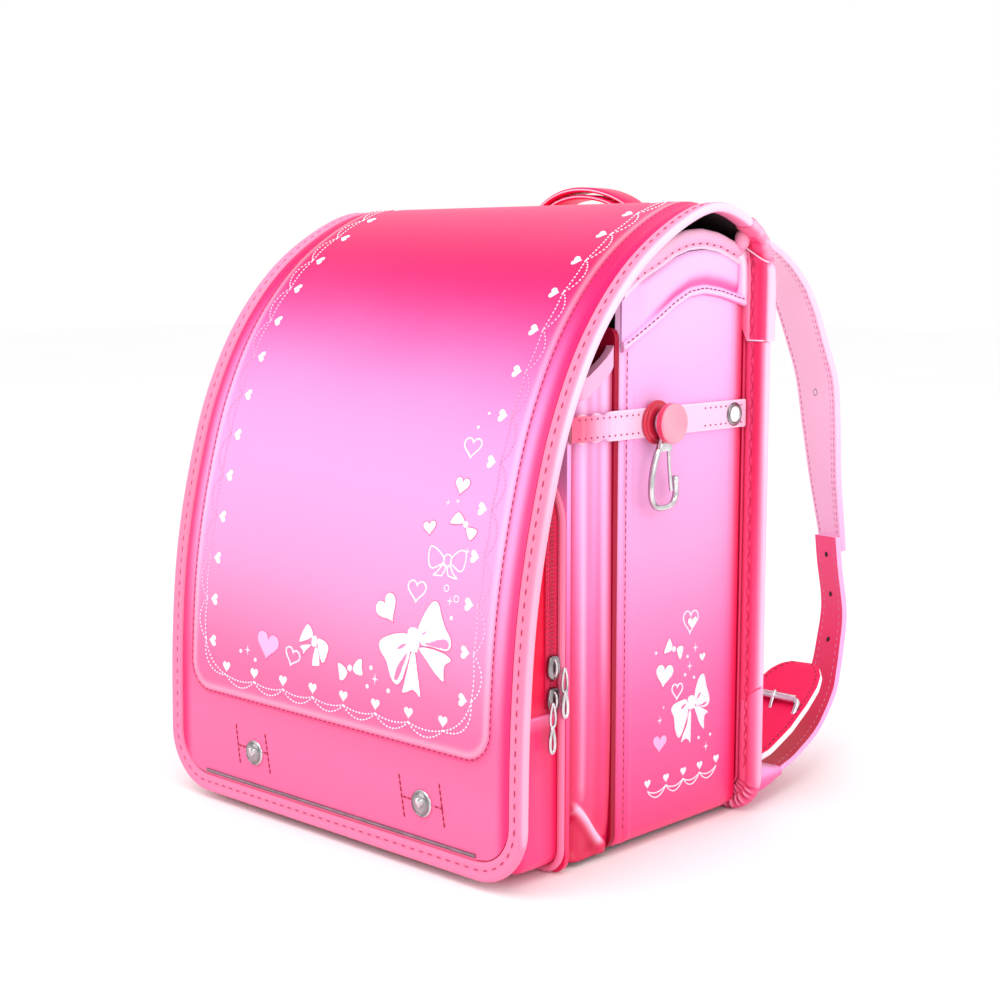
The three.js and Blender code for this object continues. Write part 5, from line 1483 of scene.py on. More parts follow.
def rim_shape():
    rings, zones = [], []
    for place, out, turn in rim_line():
        sink = (1 - gather(turn)) * gathered(turn)
        slant = Vector((0, 0, 0.75 * bump(place.z - 60, 16) if turn == 0 else 0))
        section = []
        for a, b in RIM_SECTION:
            front = ease((b + 1) / 3)
            section.append((a - 0.5 * sink * front * (1 if a > 0 else 0.2), b - 1.5 * sink * front))
        rings.append([at(*(place + out * a + Vector((0, -b, 0)) + slant * a)) for a, b in section])
        zones.append(place.z)
    points, faces, finish = loft(rings)
    count = len(RIM_SECTION)
    for i in range(len(rings) - 1):
        if zones[i] < 60 or zones[i + 1] < 60:
            finish[i * count:(i + 1) * count] = [1] * count
    return points, faces, finish


def rim_shade(x, y, z):
    """Painted shade: a band beside the painted highlight, softer towards the foot, and in the creases of the gathers
    round the corners.
    """
    turn = corner_turn(x, z) if z < RIM_FOOT + 6.1 + RIM_BEND else 0
    crease = (1 - gather(turn)) ** 3 * gathered(turn) * (1 if x > 88 else 0)
    front = ease((52 - y) / 3)
    return front * (0.8 * bump(x - 126.4, 2.5) * ease((z - 90) / 120) + crease) + 0.4 * bump(x - 118.4, 0.7) * front


# Painted highlight on the roll's outer edge, stronger near the top, and on the folds of the gathers.
def rim_shine(x, y, z):
    turn = corner_turn(x, z) if z < RIM_FOOT + 6.1 + RIM_BEND else 0
    fold = gather(turn) ** 4 * gathered(turn) * (1 if x > 88 else 0) * ease((50.5 - y) / 2)
    edge = ease((x - 128.7) / 1.5)
    return lerp(0.8, 0.95, ease((z - 150) / 60)) * edge + 0.85 * fold


build("rim_leather", [rim_shape()], [rim_leather, rim_low_leather], slot="binding_leather",
      replaces=["back_rim"], sharp=60, deep=rim_shade, bright=rim_shine)
foot_seam = [Vector((RIM_MIDDLE + a, RIM_Y - b, 60 + 0.75 * a)) for a, b in RIM_SECTION[1:13]]
foot_seam_outs = [Vector((a, 0, 0)) * 0.04 + Vector((0, -1, 0)) if a < 4 else Vector((1, -0.3, 0)) for a, _ in RIM_SECTION[1:13]]
foot_seam_welt = welt([at(*p) for p in foot_seam], [out.normalized() for out in foot_seam_outs], 0.9, 0.35)
for side, shape in (("right", foot_seam_welt), ("left", mirrored(foot_seam_welt))):
    build(f"rim_foot_seam_{side}", [shape], [rim_leather], deep=lambda x, y, z: 0.4)


def chain(points, outs, pitch=8.4, swing=0.3):
    """Chain stitch: pairs of slender beads that part and meet again, one loop after the other."""
    rows = []
    for i, (place, run, up) in enumerate(rows_along(points, outs, pitch / 2)):
        across = up.cross(run)
        for side in (1, -1):
            turn = side * swing * (1 if i % 2 else -1)
            rows.append((place + across * side * 0.75 * MM, (run + across * turn).normalized(), up))
    return rows


rim_seam_line = [(place, out) for place, out, _ in rim_line() if place.z > 20 and place.x > 0][::-1]
rim_seam_points = [at(*(place - out * 1.2 + Vector((0, -2.5, 0)))) for place, out in rim_seam_line]
sew("rim_seam", both_sides(chain(rim_seam_points, [Vector((0, -1, 0))] * len(rim_seam_points))), 4.9, 0.85, 0.7,
    crimson_thread)

# Soft wraps over the rim's top corners, pleated where they turn forward

WRAP_LINE = [(0, 0.5, 1), (0.35, 0.54, 1.06), (0.66, 0.5, 1), (0.87, 0.22, 0.86), (1, -0.3, 0.7)]
wrap_curve = [(p.x, p.y, p.z) for p in smooth_line([Vector(row) for row in WRAP_LINE], 12)]


def wrap_shape():
    rings = []
    for share in steps(0, 1, 0.0167):
        back = table(wrap_curve, share)
        thick = table(wrap_curve, share, 2) * 10.5
        fold = ease((share - 0.62) / 0.14) * (0.5 + 0.5 * math.cos((share - 0.62) * 62))
        lip = 0.35 * (1 - ease(share / 0.03))
        centre = Vector((124.4, 48.7 + back * 10.5, 240.8 + share * 53))
        section = []
        for a, b in rounded_section(13.2, thick, 4.2, 4):
            front = ease((b + 1) / 3)
            groove = 0.5 * bump(a + 1.7, 0.9) * front
            section.append((a - 0.5 * fold * (1 if a > 0 else 0.3) + lip * (1 if a > 0 else -1),
                            b - 0.8 * fold * front - groove))
        rings.append(section_ring(section, centre, Vector((1, 0, 0)), Vector((0, -1, 0))))
    return loft(rings)


def wrap_fold_shape():
    """Rounded fold that shows between the side's top and the wrap."""
    rings = []
    for angle in steps(-90, 90, 15):
        a = math.radians(angle)
        reach = max(math.cos(a), 0.03)
        centre = Vector((119.5, 43.5, 291 + 5.4 * math.sin(a)))
        rings.append(section_ring(round_section(3.2 * reach, 14), centre, Vector((1.2, 0, 0)), Vector((0, -1.25, 0))))
    return loft(rings)


def wrap_front(x, z, lift=0.0):
    """Place on the wrap's front, with the way outwards."""
    share = (z - 240.8) / 53
    y = 48.7 + table(wrap_curve, share) * 10.5 - table(wrap_curve, share, 2) * 5.25
    round_off = max(x - 127, 0) ** 2 * 0.22 + max(120.5 - x, 0) ** 2 * 0.2
    return at(x, y + round_off - lift, z), Vector((ease((x - 126) / 5), -1, 0)).normalized()


# Painted shade beside the roll's outer edge, in the pleat creases and along the inner edge by the side.
def wrap_shade(x, y, z):
    front = ease((51.5 - y) / 3)
    creases = 0.8 * bump(z - 284.6 + (x - 125) * 0.75, 1.3) + 0.6 * bump(z - 289.6, 0.9)
    return front * (0.75 * bump(x - 127, 3) * ease((284 - z) / 6) + creases) + 0.6 * bump(x - 118.2, 1.0)


# Painted highlight on the roll's outer edge.
def wrap_shine(x, y, z):
    return 0.95 * ease((x - 129.8) / 1.2) * ease((282 - z) / 4) + 0.5 * ease((x - 128) / 3) * ease((z - 280) / 4)


pair("wrap_leather", wrap_shape(), [rim_leather], "binding_leather", ["top_wrap"], sharp=60, deep=wrap_shade,
     bright=wrap_shine)
# The fold gets painted shade on its lower part and is a little paler all over.
pair("wrap_fold", wrap_fold_shape(), [binding_leather], "binding_leather", [],
     deep=lambda x, y, z: 0.5 * ease((288 - z) / 3), bright=lambda x, y, z: 0.25)

wrap_lines = []
for low, high in ((241.3, 241.3), (287.2, 279.6)):
    laid_points = [wrap_front(x, lerp(low, high, (x - 119.5) / 11.5), 0.1) for x in steps(119.5, 130.6, 0.9)]
    wrap_lines.append(welt([p for p, _ in laid_points], [out for _, out in laid_points], 0.8, 0.4))
for side, shapes in (("right", wrap_lines), ("left", [mirrored(shape) for shape in wrap_lines])):
    build(f"wrap_edges_{side}", shapes, [pale_binding], bright=lambda x, y, z: 0.6)



def wrap_flange_shape():
    """The wrap's inner edge, pressed flat between the side and its seam."""
    rings = []
    for z in steps(241.5, 287, 3.5):
        wide = 5.6 * (0.4 + 0.6 * ease((z - 241) / 9) * ease((296 - z) / 14))
        rings.append(section_ring(rounded_section(wide, 3.4, 1.0, 3), Vector((121 - wide / 2 + 0.2, 49.7, z)),
                                  Vector((1, 0, 0)), Vector((0, -1, 0))))
    return loft(rings)


def wrap_sleeve_shape():
    """The wrap's tongue, drawn forward round the end of the flap's binding."""
    rings = []
    for up in steps(CROWN_LENGTH - 52, CROWN_LENGTH - 70, 1.2):
        centre, across, out = binding_frame(FLAP_HALF - BINDING_WIDTH / 2, up, 0.0)
        fold = 1 + 0.025 * math.sin(up * 0.9)
        rings.append(section_ring([(a * 1.12 * fold, b * 1.25 * fold) for a, b in BINDING_SECTION], centre, across, out))
    return loft(rings)


# Painted shade on the flange's inner edge and on the sleeve's inner part, with a painted highlight on the sleeve's
# outer edge.
pair("wrap_flange", wrap_flange_shape(), [binding_leather], "binding_leather", [],
     deep=lambda x, y, z: 0.7 * ease((118.6 - x) / 1.2))
pair("wrap_sleeve", wrap_sleeve_shape(), [rim_leather], "binding_leather", [], sharp=60,
     deep=lambda x, y, z: 0.5 * ease((126 - x) / 3), bright=lambda x, y, z: 0.5 * ease((x - 129.8) / 0.9) + 0.2)

wrap_rows = [wrap_front(122.7, z, -0.2)[0] for z in steps(242.5, 290, 0.8)]
sew("wrap_seam", both_sides(chain(wrap_rows, [Vector((0, -1, 0))] * len(wrap_rows))), 4.9, 0.85, 0.7, crimson_thread)

# The carrying handle: two plies with pale edges

HANDLE_SECTION = [(-0.5, 0.14), (-0.475, 0.4), (-0.44, 0.5), (0, 0.5), (0.44, 0.5), (0.475, 0.4), (0.5, 0.14),
                  (0.5, -0.14), (0.475, -0.4), (0.44, -0.5), (0, -0.5), (-0.44, -0.5), (-0.475, -0.4), (-0.5, -0.14)]


def handle_shape(below, ribs):
    rise = 323.5 - 3 - 1.3 - below - 285
    half = 46 - below
    rows = [(half, z, -0.2 * (285 - z) / 19) for z in steps(266, 285, 4)[:-1]]
    rows += [(half * math.cos(a), 285 + rise * math.sin(a), math.sin(a))
             for a in (math.radians(v) for v in steps(0, 180, 3))]
    rows += [(-half, z, -0.2 * (285 - z) / 19) for z in steps(285, 266, 4)[1:]]
    rings = []
    for i, (x, z, lift) in enumerate(rows):
        before, after = rows[max(i - 1, 0)], rows[min(i + 1, len(rows) - 1)]
        run = Vector((after[0] - before[0], 0, after[1] - before[1])).normalized()
        width = lerp(10, 17, max(lift, 0))
        centre = Vector((x, 61.3 + width / 2 - 4.5 * max(lift, 0) ** 4, z))
        rib = ribs * (0.5 + 0.5 * math.cos(i * 2.1)) * ease(lift)
        section = [(a * width, b * 2.6 + (rib if b < -0.3 else 0)) for a, b in HANDLE_SECTION]
        rings.append(section_ring(section, centre, Vector((0, 1, 0)), Vector((run.z, 0, -run.x)) * -1))
    finish = [1 if min(abs(a), abs(HANDLE_SECTION[(k + 1) % 14][0])) > 0.48 else 0
              for k, (a, b) in enumerate(HANDLE_SECTION)]
    return loft(rings, finish=finish)


build("handle_upper", [handle_shape(0, 0)], [hot_leather, pale_edge], slot="hot_pink_leather", replaces=["handle"])
build("handle_under", [handle_shape(3.8, 0.7)], [hot_leather, pale_edge], slot="hot_pink_leather",
      replaces=["handle_inner_ply"])

# Straps

STRAP_UPPER = [(0.19, 0.064, 0.934, 0.6, 2), (0.235, 0.15, 0.968, 0.74, 4), (0.31, 0.36, 0.995, 0.92, 8),
               (0.37, 0.6, 0.988, 1, 14), (0.42, 0.78, 0.953, 1, 20), (0.475, 0.87, 0.905, 1, 23),
               (0.52, 0.905, 0.857, 1, 24), (0.575, 0.93, 0.785, 1, 25), (0.625, 0.95, 0.712, 1, 25),
               (0.67, 0.937, 0.628, 0.93, 26), (0.715, 0.925, 0.523, 0.79, 28), (0.755, 0.93, 0.425, 0.67, 29),
               (0.765, 0.936, 0.385, 0.62, 29)]
STRAP_LOWER = [(0.755, 0.905, 0.412, 1, 29), (0.77, 0.907, 0.36, 1, 29), (0.81, 0.9, 0.275, 1, 30),
               (0.848, 0.833, 0.205, 1, 29), (0.876, 0.767, 0.157, 1, 28), (0.9, 0.7, 0.124, 1, 27),
               (0.935, 0.555, 0.08, 1, 27), (0.97, 0.36, 0.05, 1, 24), (0.99, 0.213, 0.038, 1, 12)]
GUARD = [(0.965, 0.06, 0.0637, 0.6, 0), (0.962, 0.13, 0.08, 0.86, 0), (0.957, 0.24, 0.11, 1, 0),
         (0.95, 0.35, 0.14, 1, 0), (0.942, 0.44, 0.164, 0.94, 0), (0.935, 0.5, 0.18, 0.8, 0),
         (0.932, 0.535, 0.189, 0.6, 0), (0.93, 0.555, 0.193, 0.36, 0)]
TAB = [(1, 0.006, 0.034, 1.8, 0), (1, 0.08, 0.036, 1.8, 0), (0.992, 0.2, 0.038, 1, 0)]


def strap_frames(rows, per=7):
    """Rows of place, ways across, along and through a strap, and its width share."""
    line = smooth_line([Vector((splay * 107.4, 56.3 + reach * 143, up * 298)) for splay, reach, up, _, _ in rows], per)
    extra = smooth_line([Vector((wide, turn / 30, 0)) for _, _, _, wide, turn in rows], per)
    frames_made = []
    for i, place in enumerate(line):
        t = i / per
        k = min(int(t), len(rows) - 2)
        wide = lerp(rows[k][3], rows[k + 1][3], t - k)
        turn = math.radians(lerp(rows[k][4], rows[k + 1][4], t - k))
        across = Vector((math.cos(turn), -math.sin(turn), 0))
        run = (line[min(i + 1, len(line) - 1)] - line[max(i - 1, 0)]).normalized()
        through = run.cross(across).normalized()
        frames_made.append((place, through.cross(run).normalized(), run, through, wide))
    return frames_made


def strap_shape(rows, width, thickness, crown=0.0, groove=3.0, leathers=(0, 1, 2), per=7):
    """Strap with a crowned outer face, pale cut edges and a softer inner face."""
    rings, finish = [], None
    for place, across, _, through, wide in strap_frames(rows, per):
        half, t = width * wide / 2, thickness / 2
        outer = []
        for share in (-0.97, -0.9, -0.84, -0.78, -0.55, -0.28, 0, 0.28, 0.55, 0.78, 0.84, 0.9, 0.97):
            dip = 0.35 * bump((1 - abs(share)) * half - groove, 0.8)
            outer.append((share * half, t + crown * (1 - share * share) - dip))
        inner = [(share * half, -t - crown * 0.6 * (1 - share * share)) for share in (0.97, 0.5, 0, -0.5, -0.97)]
        section = [(-half, 0), *outer, (half, 0), *inner]
        rings.append(section_ring(section, place, across, through))
        if finish is None:
            finish = ([leathers[1]] + [leathers[0]] * 12 + [leathers[1]] * 2 + [leathers[2]] * 4
                      + [leathers[1]])
    return loft(rings, finish=finish)


def strap_seam(rows, width, inset, lift, pitch, sides=(1, -1), ends=(0.0, 1.0)):
    made = []
    for side in sides:
        points, outs = [], []
        frames_made = strap_frames(rows)
        first, last = int(ends[0] * (len(frames_made) - 1)), int(ends[1] * (len(frames_made) - 1))
        for place, across, _, through, wide in frames_made[first:last + 1]:
            points.append(at(*(place + across * side * (width * wide / 2 - inset) + through * lift)))
            outs.append(through * (1 if lift > 0 else -1))
        made += rows_along(points, outs, pitch)
    return made


strap_form = strap_shape(STRAP_UPPER, 42, 3.4, crown=0.5)
for side, shape in (("right", strap_form), ("left", mirrored(strap_form))):
    padded_strap = build(f"shoulder_strap_{side}", [shape], [strap_leather, pale_edge, strap_back],
                         slot="strap_padding", replaces=[f"shoulder_strap_{side}"], sharp=50)
strap_rows = (strap_seam(STRAP_UPPER, 42, 3.0, 1.75, 3.6) + strap_seam(STRAP_UPPER, 42, 5.4, 1.85, 3.6, (1,))
              + strap_seam(STRAP_UPPER, 42, 3.0, -1.8, 3.6))
sew("shoulder_strap_seams", both_sides(strap_rows), 2.4, 0.7, 0.5, strap_thread)
pair("lower_strap", strap_shape(STRAP_LOWER, 26, 3, crown=0.0, groove=4),
     [lower_strap_leather, pale_edge, lower_strap_leather],
     "hot_pink_leather", ["lower_strap"], sharp=50)
lower_rows = (strap_seam(STRAP_LOWER, 26, 4.2, 1.35, 4.4) + strap_seam(STRAP_LOWER, 26, 4.2, -1.5, 4.4))
sew("lower_strap_seams", both_sides(lower_rows), 3.0, 0.8, 0.5, strap_thread)
pair("buckle_guard", strap_shape(GUARD, 41, 3.4, crown=0.1, groove=3.4, leathers=(0, 1, 0)),
     [hot_leather, white_edge], "hot_pink_leather", ["buckle_guard"], sharp=50)
guard_rows = strap_seam(GUARD, 41, 3.2, 1.75, 3.6) + strap_seam(GUARD, 41, 3.2, -1.8, 3.6)
sew("buckle_guard_seams", both_sides(guard_rows), 2.5, 0.8, 0.5, red_thread)


def strap_dot(rows, place, radius, height, hollow=0.0):
    """Round eyelet or hole on the face of a strap, at a share of its length."""
    frames_made = strap_frames(rows)
    middle, _, _, through, _ = frames_made[int(place * (len(frames_made) - 1))]
    profile = [(0.02, -0.5), (radius, -0.5), (radius, height * 0.5), (radius * 0.85, height)]
    profile += [(radius * 0.6, height), (radius * 0.5, 0.05), (0.02, 0.02)] if hollow else [(0.02, height)]
    return turned(profile, middle + through * 1.75, through, 20)


strap_rivets = [strap_dot(STRAP_UPPER, 0.7, 2.6, 0.5, 1.0)]
# The holes are discs in the dark lining colour: painted shade inside them.
strap_holes = [strap_dot(STRAP_LOWER, share, 1.5, 0.06) for share in (0.09, 0.215, 0.36)]
for side, turned_over in (("right", False), ("left", True)):
    for name, shapes, finish in (("strap_rivet", strap_rivets, dark_nickel), ("strap_holes", strap_holes, lining)):
        build(f"{name}_{side}", [mirrored(s) if turned_over else s for s in shapes], [finish])


def tab_shape():
    rings = []
    for i, (place, across, _, through, wide) in enumerate(strap_frames(TAB, 10)):
        thick = 7 * wide * (1 - 0.25 * ease((i - 14) / 6))
        section = rounded_section(30 - 0.5, thick, min(3.0, thick * 0.4), 4)
        rings.append(section_ring(section, place, across, through))
    return loft(rings)


pair("strap_tab", tab_shape(), [tab_leather], "binding_leather", ["strap_tab"], sharp=50)


def buckle_shape():
    """Rectangular frame on the guard, with its bar and prong."""
    rows = [Vector((splay * 107.4, 56.3 + reach * 143, up * 298)) for splay, reach, up, _, _ in GUARD[2:4]]
    run = (rows[1] - rows[0]).normalized()
    across = Vector((1, 0, 0))
    out = across.cross(run).normalized()
    centre = rows[0].lerp(rows[1], 0.6) + out * (1.8 + 0.3 + 1.6)
    spot = lambda a, b, c=0.0: centre + across * a + run * b + out * (c - 0.42 * (8.4 - b))
    loop = []
    for sx, sy, start in ((1, 1, 0), (-1, 1, 90), (-1, -1, 180), (1, -1, 270)):
        for angle in (math.radians(start + v) for v in steps(0, 90, 15)):
            loop.append(spot(sx * 13 + 2.4 * math.cos(angle), sy * 6 + 2.4 * math.sin(angle)))
    frame_wire = wire(loop, 1.6, True, 12, out)
    bar = wire([spot(-15.2, 0), spot(15.2, 0)], 1.1, False, 10, out)
    prong = wire([spot(0, 0.4), spot(0, 4, 1.0), spot(0, 8.2, 1.8), spot(0, 10.4, 1.4)], 1.0, False, 10, across)
    plate = loft([section_ring(rounded_section(4.6, 2.6, 0.9, 3), spot(a, 8.4, 0.5), run, out)
                  for a in (-13.5, -13.2, 13.2, 13.5)])
    return [frame_wire, bar, prong, plate]


buckle = buckle_shape()
for side, shapes in (("right", buckle), ("left", [mirrored(shape) for shape in buckle])):
    build(f"buckle_{side}", shapes, [nickel], slot="nickel", replaces=[f"buckle_frame_{side}"], sharp=50)

# The side band with its knob, eyelet and snap hook

BAND_LEVEL, BAND_X = 205.0, 119.3


def band_wave(y):
    return (0.55 + 0.45 * math.sin((y + 84) * 0.62)) * 1.3 * ease((-52 - y) / 10)


def band_shape():
    """Band whose cut edges wave where it passes over the gusset."""
    rings = []
    for y in steps(48.0, -84.3, 1.2):
        section = [(a - math.copysign(band_wave(y), a), b) for a, b in rounded_section(14, 2, 0.9, 3)]
        rings.append(section_ring(section, Vector((BAND_X, y, BAND_LEVEL)), Vector((0, 0, 1)), Vector((1, 0, 0))))
    return loft(rings)


def band_place(y, z, lift=0.0):
    return at(BAND_X + 1 + lift, y, z)


# The band gets painted shade where it passes over the gusset; its cut edges are paler.
pair("side_band_leather", band_shape(), [band_leather], "binding_leather", ["side_band"],
     deep=lambda x, y, z: 0.85 * ease((-58 - y) / 20), bright=lambda x, y, z: 0.85 * ease((abs(z - BAND_LEVEL) - 5.8) / 0.7))
band_rows = []
for level in (4.3, -4.3):
    for y_from, y_to in ((46, 14), (-14, -83)):
        band_rows += sewn_path(band_place, [(y_from, BAND_LEVEL + level), (y_to, BAND_LEVEL + level)], 4.2)
sew("side_band_dots", both_sides(band_rows), 1.3, 0.9, 0.6, rose_thread)

KNOB_Y = -24.5
SIDEWAYS = Vector((1, 0, 0))


def knob_shapes():
    base = turned([(0.01, 0), (10.2, 0), (10.5, 0.4), (10.5, 1.3), (9.9, 1.9), (9.0, 2.0), (8.6, 2.5), (7.9, 2.9),
                   (3.7, 2.9), (3.6, 6.2), (0.01, 6.2)], (120.6, KNOB_Y, BAND_LEVEL), SIDEWAYS, 48, 1)
    head = turned([(0.01, 7.3), (8.3, 7.3), (9.3, 7.7), (9.6, 8.4), (9.6, 10.9)], (120.6, KNOB_Y, BAND_LEVEL),
                  SIDEWAYS, 48, 2)
    face = turned([(9.6, 10.9), (9.45, 11.6), (8.9, 12.1), (8.3, 12.2), (7.9, 12.05), (0.01, 12.1)],
                  (120.6, KNOB_Y, BAND_LEVEL), SIDEWAYS, 48, 0)
    head_points, head_faces, head_finish = head
    face_points, face_faces, face_finish = face
    sides = 48
    joined = (head_points + face_points,
              [f for f in head_faces if len(f) == 4 or min(f) == 0]
              + [tuple(i + len(head_points) for i in f) for f in face_faces if len(f) == 4 or max(f) >= 5 * sides],
              [2] * (len(head_faces) - 1) + [0] * (len(face_faces) - 1))
    return [base, joined]


def eyelet_shapes():
    ring = turned([(3.3, 0), (5.8, 0), (5.8, 0.4), (5.3, 0.85), (4.7, 0.95), (4.1, 0.75), (3.8, 0.3), (0.01, 0.25)],
                  (120.6, 37.9, BAND_LEVEL), SIDEWAYS, 40)
    well = turned([(0.01, 0.2), (3.9, 0.2), (3.9, 0.4), (0.01, 0.45)], (120.6, 37.9, BAND_LEVEL), SIDEWAYS, 24, 1)
    return [ring, well]


def paired_shapes(name, shapes, materials, slot, nodes, bodies=(CASE, CASE), sharp=50, **tints):
    for side, body, forms in zip(("right", "left"), bodies, (shapes, [mirrored(shape) for shape in shapes])):
        build(f"{name}_{side}", forms, materials, body, sharp, slot, [f"{node}_{side}" for node in nodes], **tints)


paired_shapes("side_knob_plastic", knob_shapes(), [salmon, dark_salmon, side_salmon], "knob_plastic", ["side_knob"],
              sharp=40)
paired_shapes("band_eyelet_metal", eyelet_shapes(), [dark_nickel, white_edge], "nickel", ["band_eyelet"])

HOOK_LINE = [(-0.05, 0.24), (-0.24, 0.34), (-0.42, 0.6), (-0.42, 0.86), (-0.26, 0.965), (0.26, 0.965),
             (0.42, 0.88), (0.42, 0.64)]


def hook_spot(across, down, out=0.0):
    return Vector((125.75 + out, KNOB_Y + across * 21, BAND_LEVEL - down * 41))


def hook_shapes():
    eye = []
    for i in range(36):
        a = 2 * math.pi * i / 36
        way = Vector((0, math.sin(a), math.cos(a)))
        eye.append(section_ring(rounded_section(3.0, 3.5, 1.2, 3), hook_spot(0, 0) + way * 5.2, way, SIDEWAYS))
    neck_rows = [(0.12, 0.24, 3.0), (0.15, 0.3, 3.3), (0.2, 0.34, 3.4), (0.26, 0.42, 3.4), (0.3, 0.5, 3.3),
                 (0.325, 0.46, 2.8)]
    neck = [section_ring(rounded_section(wide * 21, thick, 1.3, 4), hook_spot(0.0, down), Vector((0, 1, 0)), SIDEWAYS)
            for down, wide, thick in neck_rows]
    line = smooth_line([hook_spot(*row) for row in HOOK_LINE], 8)
    bow = wire(line, 1.55, False, 12, SIDEWAYS)
    tip = turned([(0.01, -1.2), (1.3, -1.0), (1.85, 0), (1.85, 2.2), (1.2, 3.0), (0.01, 3.2)],
                 hook_spot(0.42, 0.7), (0, 0, 1), 16)
    return [loft(eye, True), loft(neck), bow, tip]


def gate_shapes():
    line = smooth_line([hook_spot(0.16, 0.303), hook_spot(0.19, 0.5), hook_spot(0.27, 0.8)], 6)
    arm = wire(line, 0.95, False, 10, SIDEWAYS)
    return [arm]


# Painted shade on the side of the hook and gate facing the case, and at two spots on the hook's wire.
paired_shapes("snap_hook_metal", hook_shapes(), [nickel], "nickel", ["snap_hook"], ("hook_right", "hook_left"),
              deep=lambda x, y, z: 0.9 * ease((125.6 - x) / 0.8) + 0.9 * bump(z - 187.5, 1.6) * bump(y - KNOB_Y, 1.6)
              + 0.7 * bump(z - 167, 1.4) * bump(y - KNOB_Y + 6.5, 2))
paired_shapes("hook_gate_metal", gate_shapes(), [nickel], "nickel", ["hook_gate"], ("gate_right", "gate_left"),
              deep=lambda x, y, z: 0.8 * ease((125.8 - x) / 0.6))

# The grey strip along the hem

def strip_shape():
    section = [(-0.9, -0.2), (-0.9, 0.55), (-0.5, 0.6), (-0.45, 0.35), (0.45, 0.35), (0.5, 0.6), (0.9, 0.55), (0.9, -0.2)]
    rings = []
    for x in steps(-100, 100, 4):
        place, out, along = crown_at(11.7)
        centre = Vector((x, place.y, place.z)) - out * (PANEL_RISE - 0.2)
        rings.append(section_ring(section, centre, along * -1, out))
    return loft(rings, finish=[1, 1, 1, 0, 1, 1, 1, 1])


build("hem_strip", [strip_shape()], [reflector, dark_film], slot="reflective_film", replaces=["reflective_strip"])

# The back: a leather-covered board with two long soft pads

def board_shape():
    outline = []
    for sx in (1, -1):
        corner = [(117.7 - 7.8 * (1 - math.cos(a)), 9.5 + 7.8 * (1 - math.sin(a)))
                  for a in (math.radians(v) for v in steps(0, 90, 15))]
        points = [(117.7, 263.2), (117.7, 150)] + corner
        outline += [(sx * x, z) for x, z in (points if sx > 0 else points[::-1])]
    rings = [[at(x * shrink, y, lerp(136, z, shrink)) for x, z in outline]
             for y, shrink in ((48.7, 1), (55.4, 1), (56.0, 0.997), (56.3, 0.99))]
    points, faces, finish = loft(rings)
    finish[:len(outline)] = [1] * len(outline)
    finish[-2] = 2
    return points, faces, finish


def pad_shape(middle, half, low, high):
    """Flat closed box with rounded corners, to be swollen."""
    outline = []
    corner = 12
    for cx, cz, start in ((half - corner, high - corner, 0), (-half + corner, high - corner, 90),
                          (-half + corner, low + corner, 180), (half - corner, low + corner, 270)):
        outline += [(middle + cx + corner * math.cos(math.radians(start + v)),
                     cz + corner * math.sin(math.radians(start + v))) for v in steps(0, 90, 15)]
    return loft([[at(x, y, z) for x, z in outline] for y in (56.1, 58.4)])


def swell(piece, voxel=4.5, cap=2.6, pressure=4.0):
    """Air pressure rounds the pad; no point moves further than the cap, in millimetres."""
    remesh = piece.modifiers.new("remesh", "REMESH")
    remesh.mode = "VOXEL"
    remesh.voxel_size = voxel * MM
    bpy.context.view_layer.update()
    mesh = bpy.data.meshes.new_from_object(piece.evaluated_get(bpy.context.evaluated_depsgraph_get()))
    piece.modifiers.clear()
    piece.data = mesh
    start = [v.co.copy() for v in mesh.vertices]
    cloth = piece.modifiers.new("air", "CLOTH")
    cloth.settings.use_pressure = True
    cloth.settings.uniform_pressure_force = pressure
    cloth.settings.effector_weights.gravity = 0.0
    for moment in range(1, 21):
        bpy.context.scene.frame_set(moment)
    swollen = bpy.data.meshes.new_from_object(piece.evaluated_get(bpy.context.evaluated_depsgraph_get()))
    piece.modifiers.clear()
    bpy.context.scene.frame_set(1)
    for vertex, before in zip(swollen.vertices, start):
        move = vertex.co - before
        if move.length > cap * MM:
            vertex.co = before + move * (cap * MM / move.length)
    piece.data = swollen
    finer = piece.modifiers.new("finer", "SUBSURF")
    finer.levels = finer.render_levels = 1
    bpy.context.view_layer.update()
    final = bpy.data.meshes.new_from_object(piece.evaluated_get(bpy.context.evaluated_depsgraph_get()))
    piece.modifiers.clear()
    piece.data = final
    piece.data.shade_smooth()


def soft_pad(name, shape, finish):
    points, faces, _ = shape
    mesh = bpy.data.meshes.new(name)
    mesh.from_pydata(points, [], faces)
    mesh.materials.append(finish)
    pad = bpy.data.objects.new(name, mesh)
    bpy.context.scene.collection.objects.link(pad)
    form = bmesh.new()
    form.from_mesh(mesh)
    bmesh.ops.recalc_face_normals(form, faces=form.faces)
    form.to_mesh(mesh)
    form.free()
    swell(pad)
    if not pad.data.materials:
        pad.data.materials.append(finish)
    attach(pad, CASE)
    return pad


# The board's face towards the inside of the case is deep pink: painted shade.
build("back_board_leather", [board_shape()], [strap_leather, rim_leather, painted_shade_leather], slot="strap_padding", replaces=["back_panel"])
for side, middle in (("right", 57.0), ("left", -57.0)):
    soft_pad(f"back_pad_{side}", pad_shape(middle, 51.0, 24.0, 226.0), strap_back)


def board_place(x, z, lift=0.0):
    return at(x, 56.3 + lift, z)


board_rows = []
for x_low, x_high in ((3.5, 110.5), (-110.5, -3.5)):
    frame_line = [(x_low, 21.5), (x_high, 21.5), (x_high, 229), (x_low, 229), (x_low, 21.5)]
    board_rows += sewn_path(board_place, frame_line, 4.0)
sew("back_board_seams", board_rows, 2.9, 0.8, 0.6, strap_thread)


def finish_nodes(material, *names):
    """Dress CAD solids whose shape is kept."""
    for name in names:
        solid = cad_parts[name]
        for place in range(len(solid.material_slots)):
            solid.material_slots[place].material = material


finish_nodes(lining, "case_floor", "small_floor")
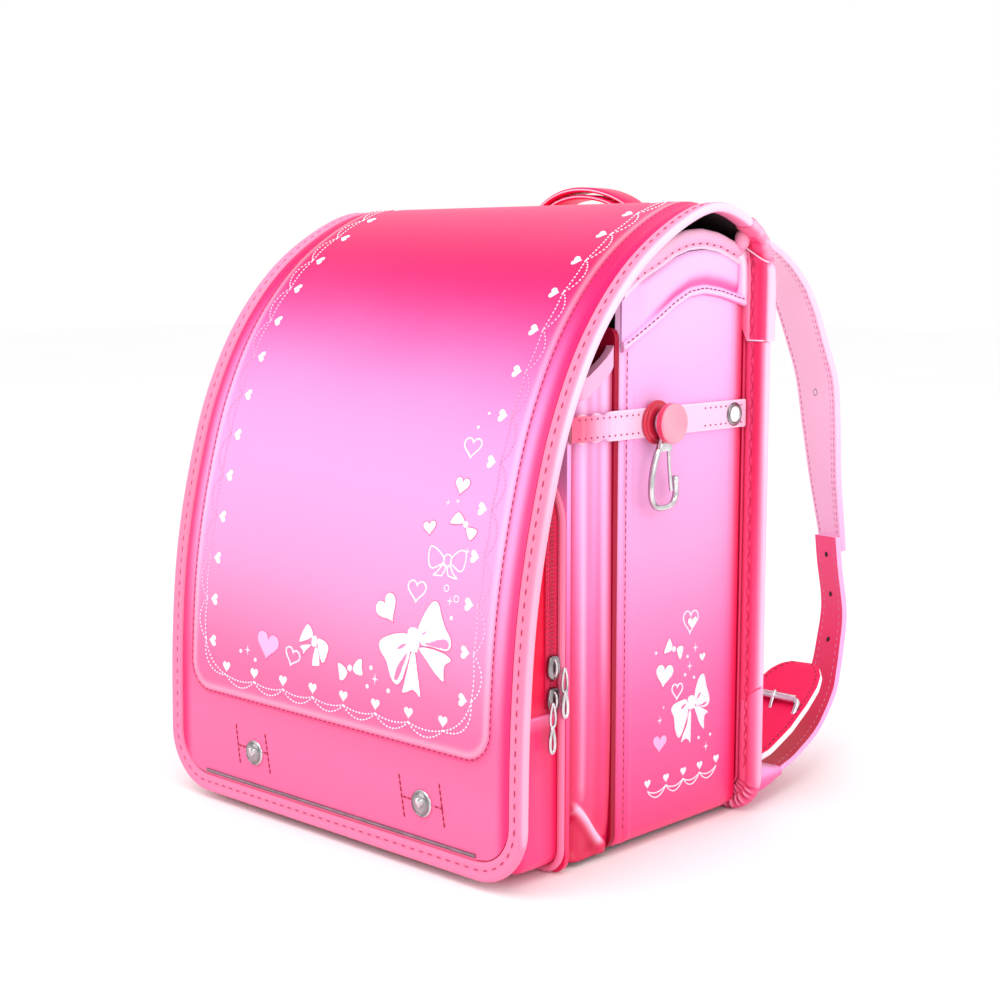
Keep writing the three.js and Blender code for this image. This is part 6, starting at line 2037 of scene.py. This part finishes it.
# The partition's edge shows in the valley beside the gusset; it is coloured as painted shade.
finish_nodes(painted_shade_leather, "partition_wall")
finish_nodes(gusset_leather, "small_front_wall")
finish_nodes(hot_leather, "strap_plate")
finish_nodes(nickel, "lock_block")

# Studio

floor_mesh = bpy.data.meshes.new("floor")
floor_mesh.from_pydata([(-6, -6, 0), (6, -6, 0), (6, 6, 0), (-6, 6, 0)], [], [(0, 1, 2, 3)])
floor = bpy.data.objects.new("floor", floor_mesh)
bpy.context.scene.collection.objects.link(floor)
paper, paper_nodes, paper_links, paper_shader = new_finish("pale paper")
paper_places = paper_nodes.new("ShaderNodeTexCoord")
paper_cloud = paper_nodes.new("ShaderNodeTexNoise")
paper_cloud.inputs["Scale"].default_value = 3.0
paper_links.new(paper_places.outputs["Object"], paper_cloud.inputs["Vector"])
paper_ramp = ramp_node(paper_nodes, [(0.0, "fbfbfb"), (1.0, "ffffff")])
paper_links.new(paper_cloud.outputs["Fac"], paper_ramp.inputs["Fac"])
paper_links.new(paper_ramp.outputs["Color"], paper_shader.inputs["Base Color"])
paper_shader.inputs["Roughness"].default_value = 0.9
floor_mesh.materials.append(paper)

world = bpy.data.worlds.new("studio")
world.use_nodes = True
world.node_tree.nodes["Background"].inputs["Color"].default_value = (1.0, 1.0, 1.0, 1.0)
world.node_tree.nodes["Background"].inputs["Strength"].default_value = 1.0
bpy.context.scene.world = world
bpy.context.scene.view_settings.view_transform = "Standard"


def area_light(name, place, aim, size, power, shade=(1.0, 1.0, 1.0)):
    data = bpy.data.lights.new(name, "AREA")
    data.size = size
    data.energy = power
    data.color = shade
    lamp = bpy.data.objects.new(name, data)
    lamp.location = place
    lamp.rotation_mode = "QUATERNION"
    lamp.rotation_quaternion = (Vector(aim) - Vector(place)).to_track_quat("-Z", "Y")
    bpy.context.scene.collection.objects.link(lamp)


area_light("soft top light", (0.3, -0.6, 1.5), (0.0, 0.0, 0.15), 1.2, 9)
area_light("front light", (-0.9, -1.6, 0.7), (0.0, 0.0, 0.15), 1.0, 5)
area_light("side light", (1.8, -0.3, 0.8), (0.0, 0.0, 0.15), 1.0, 5)
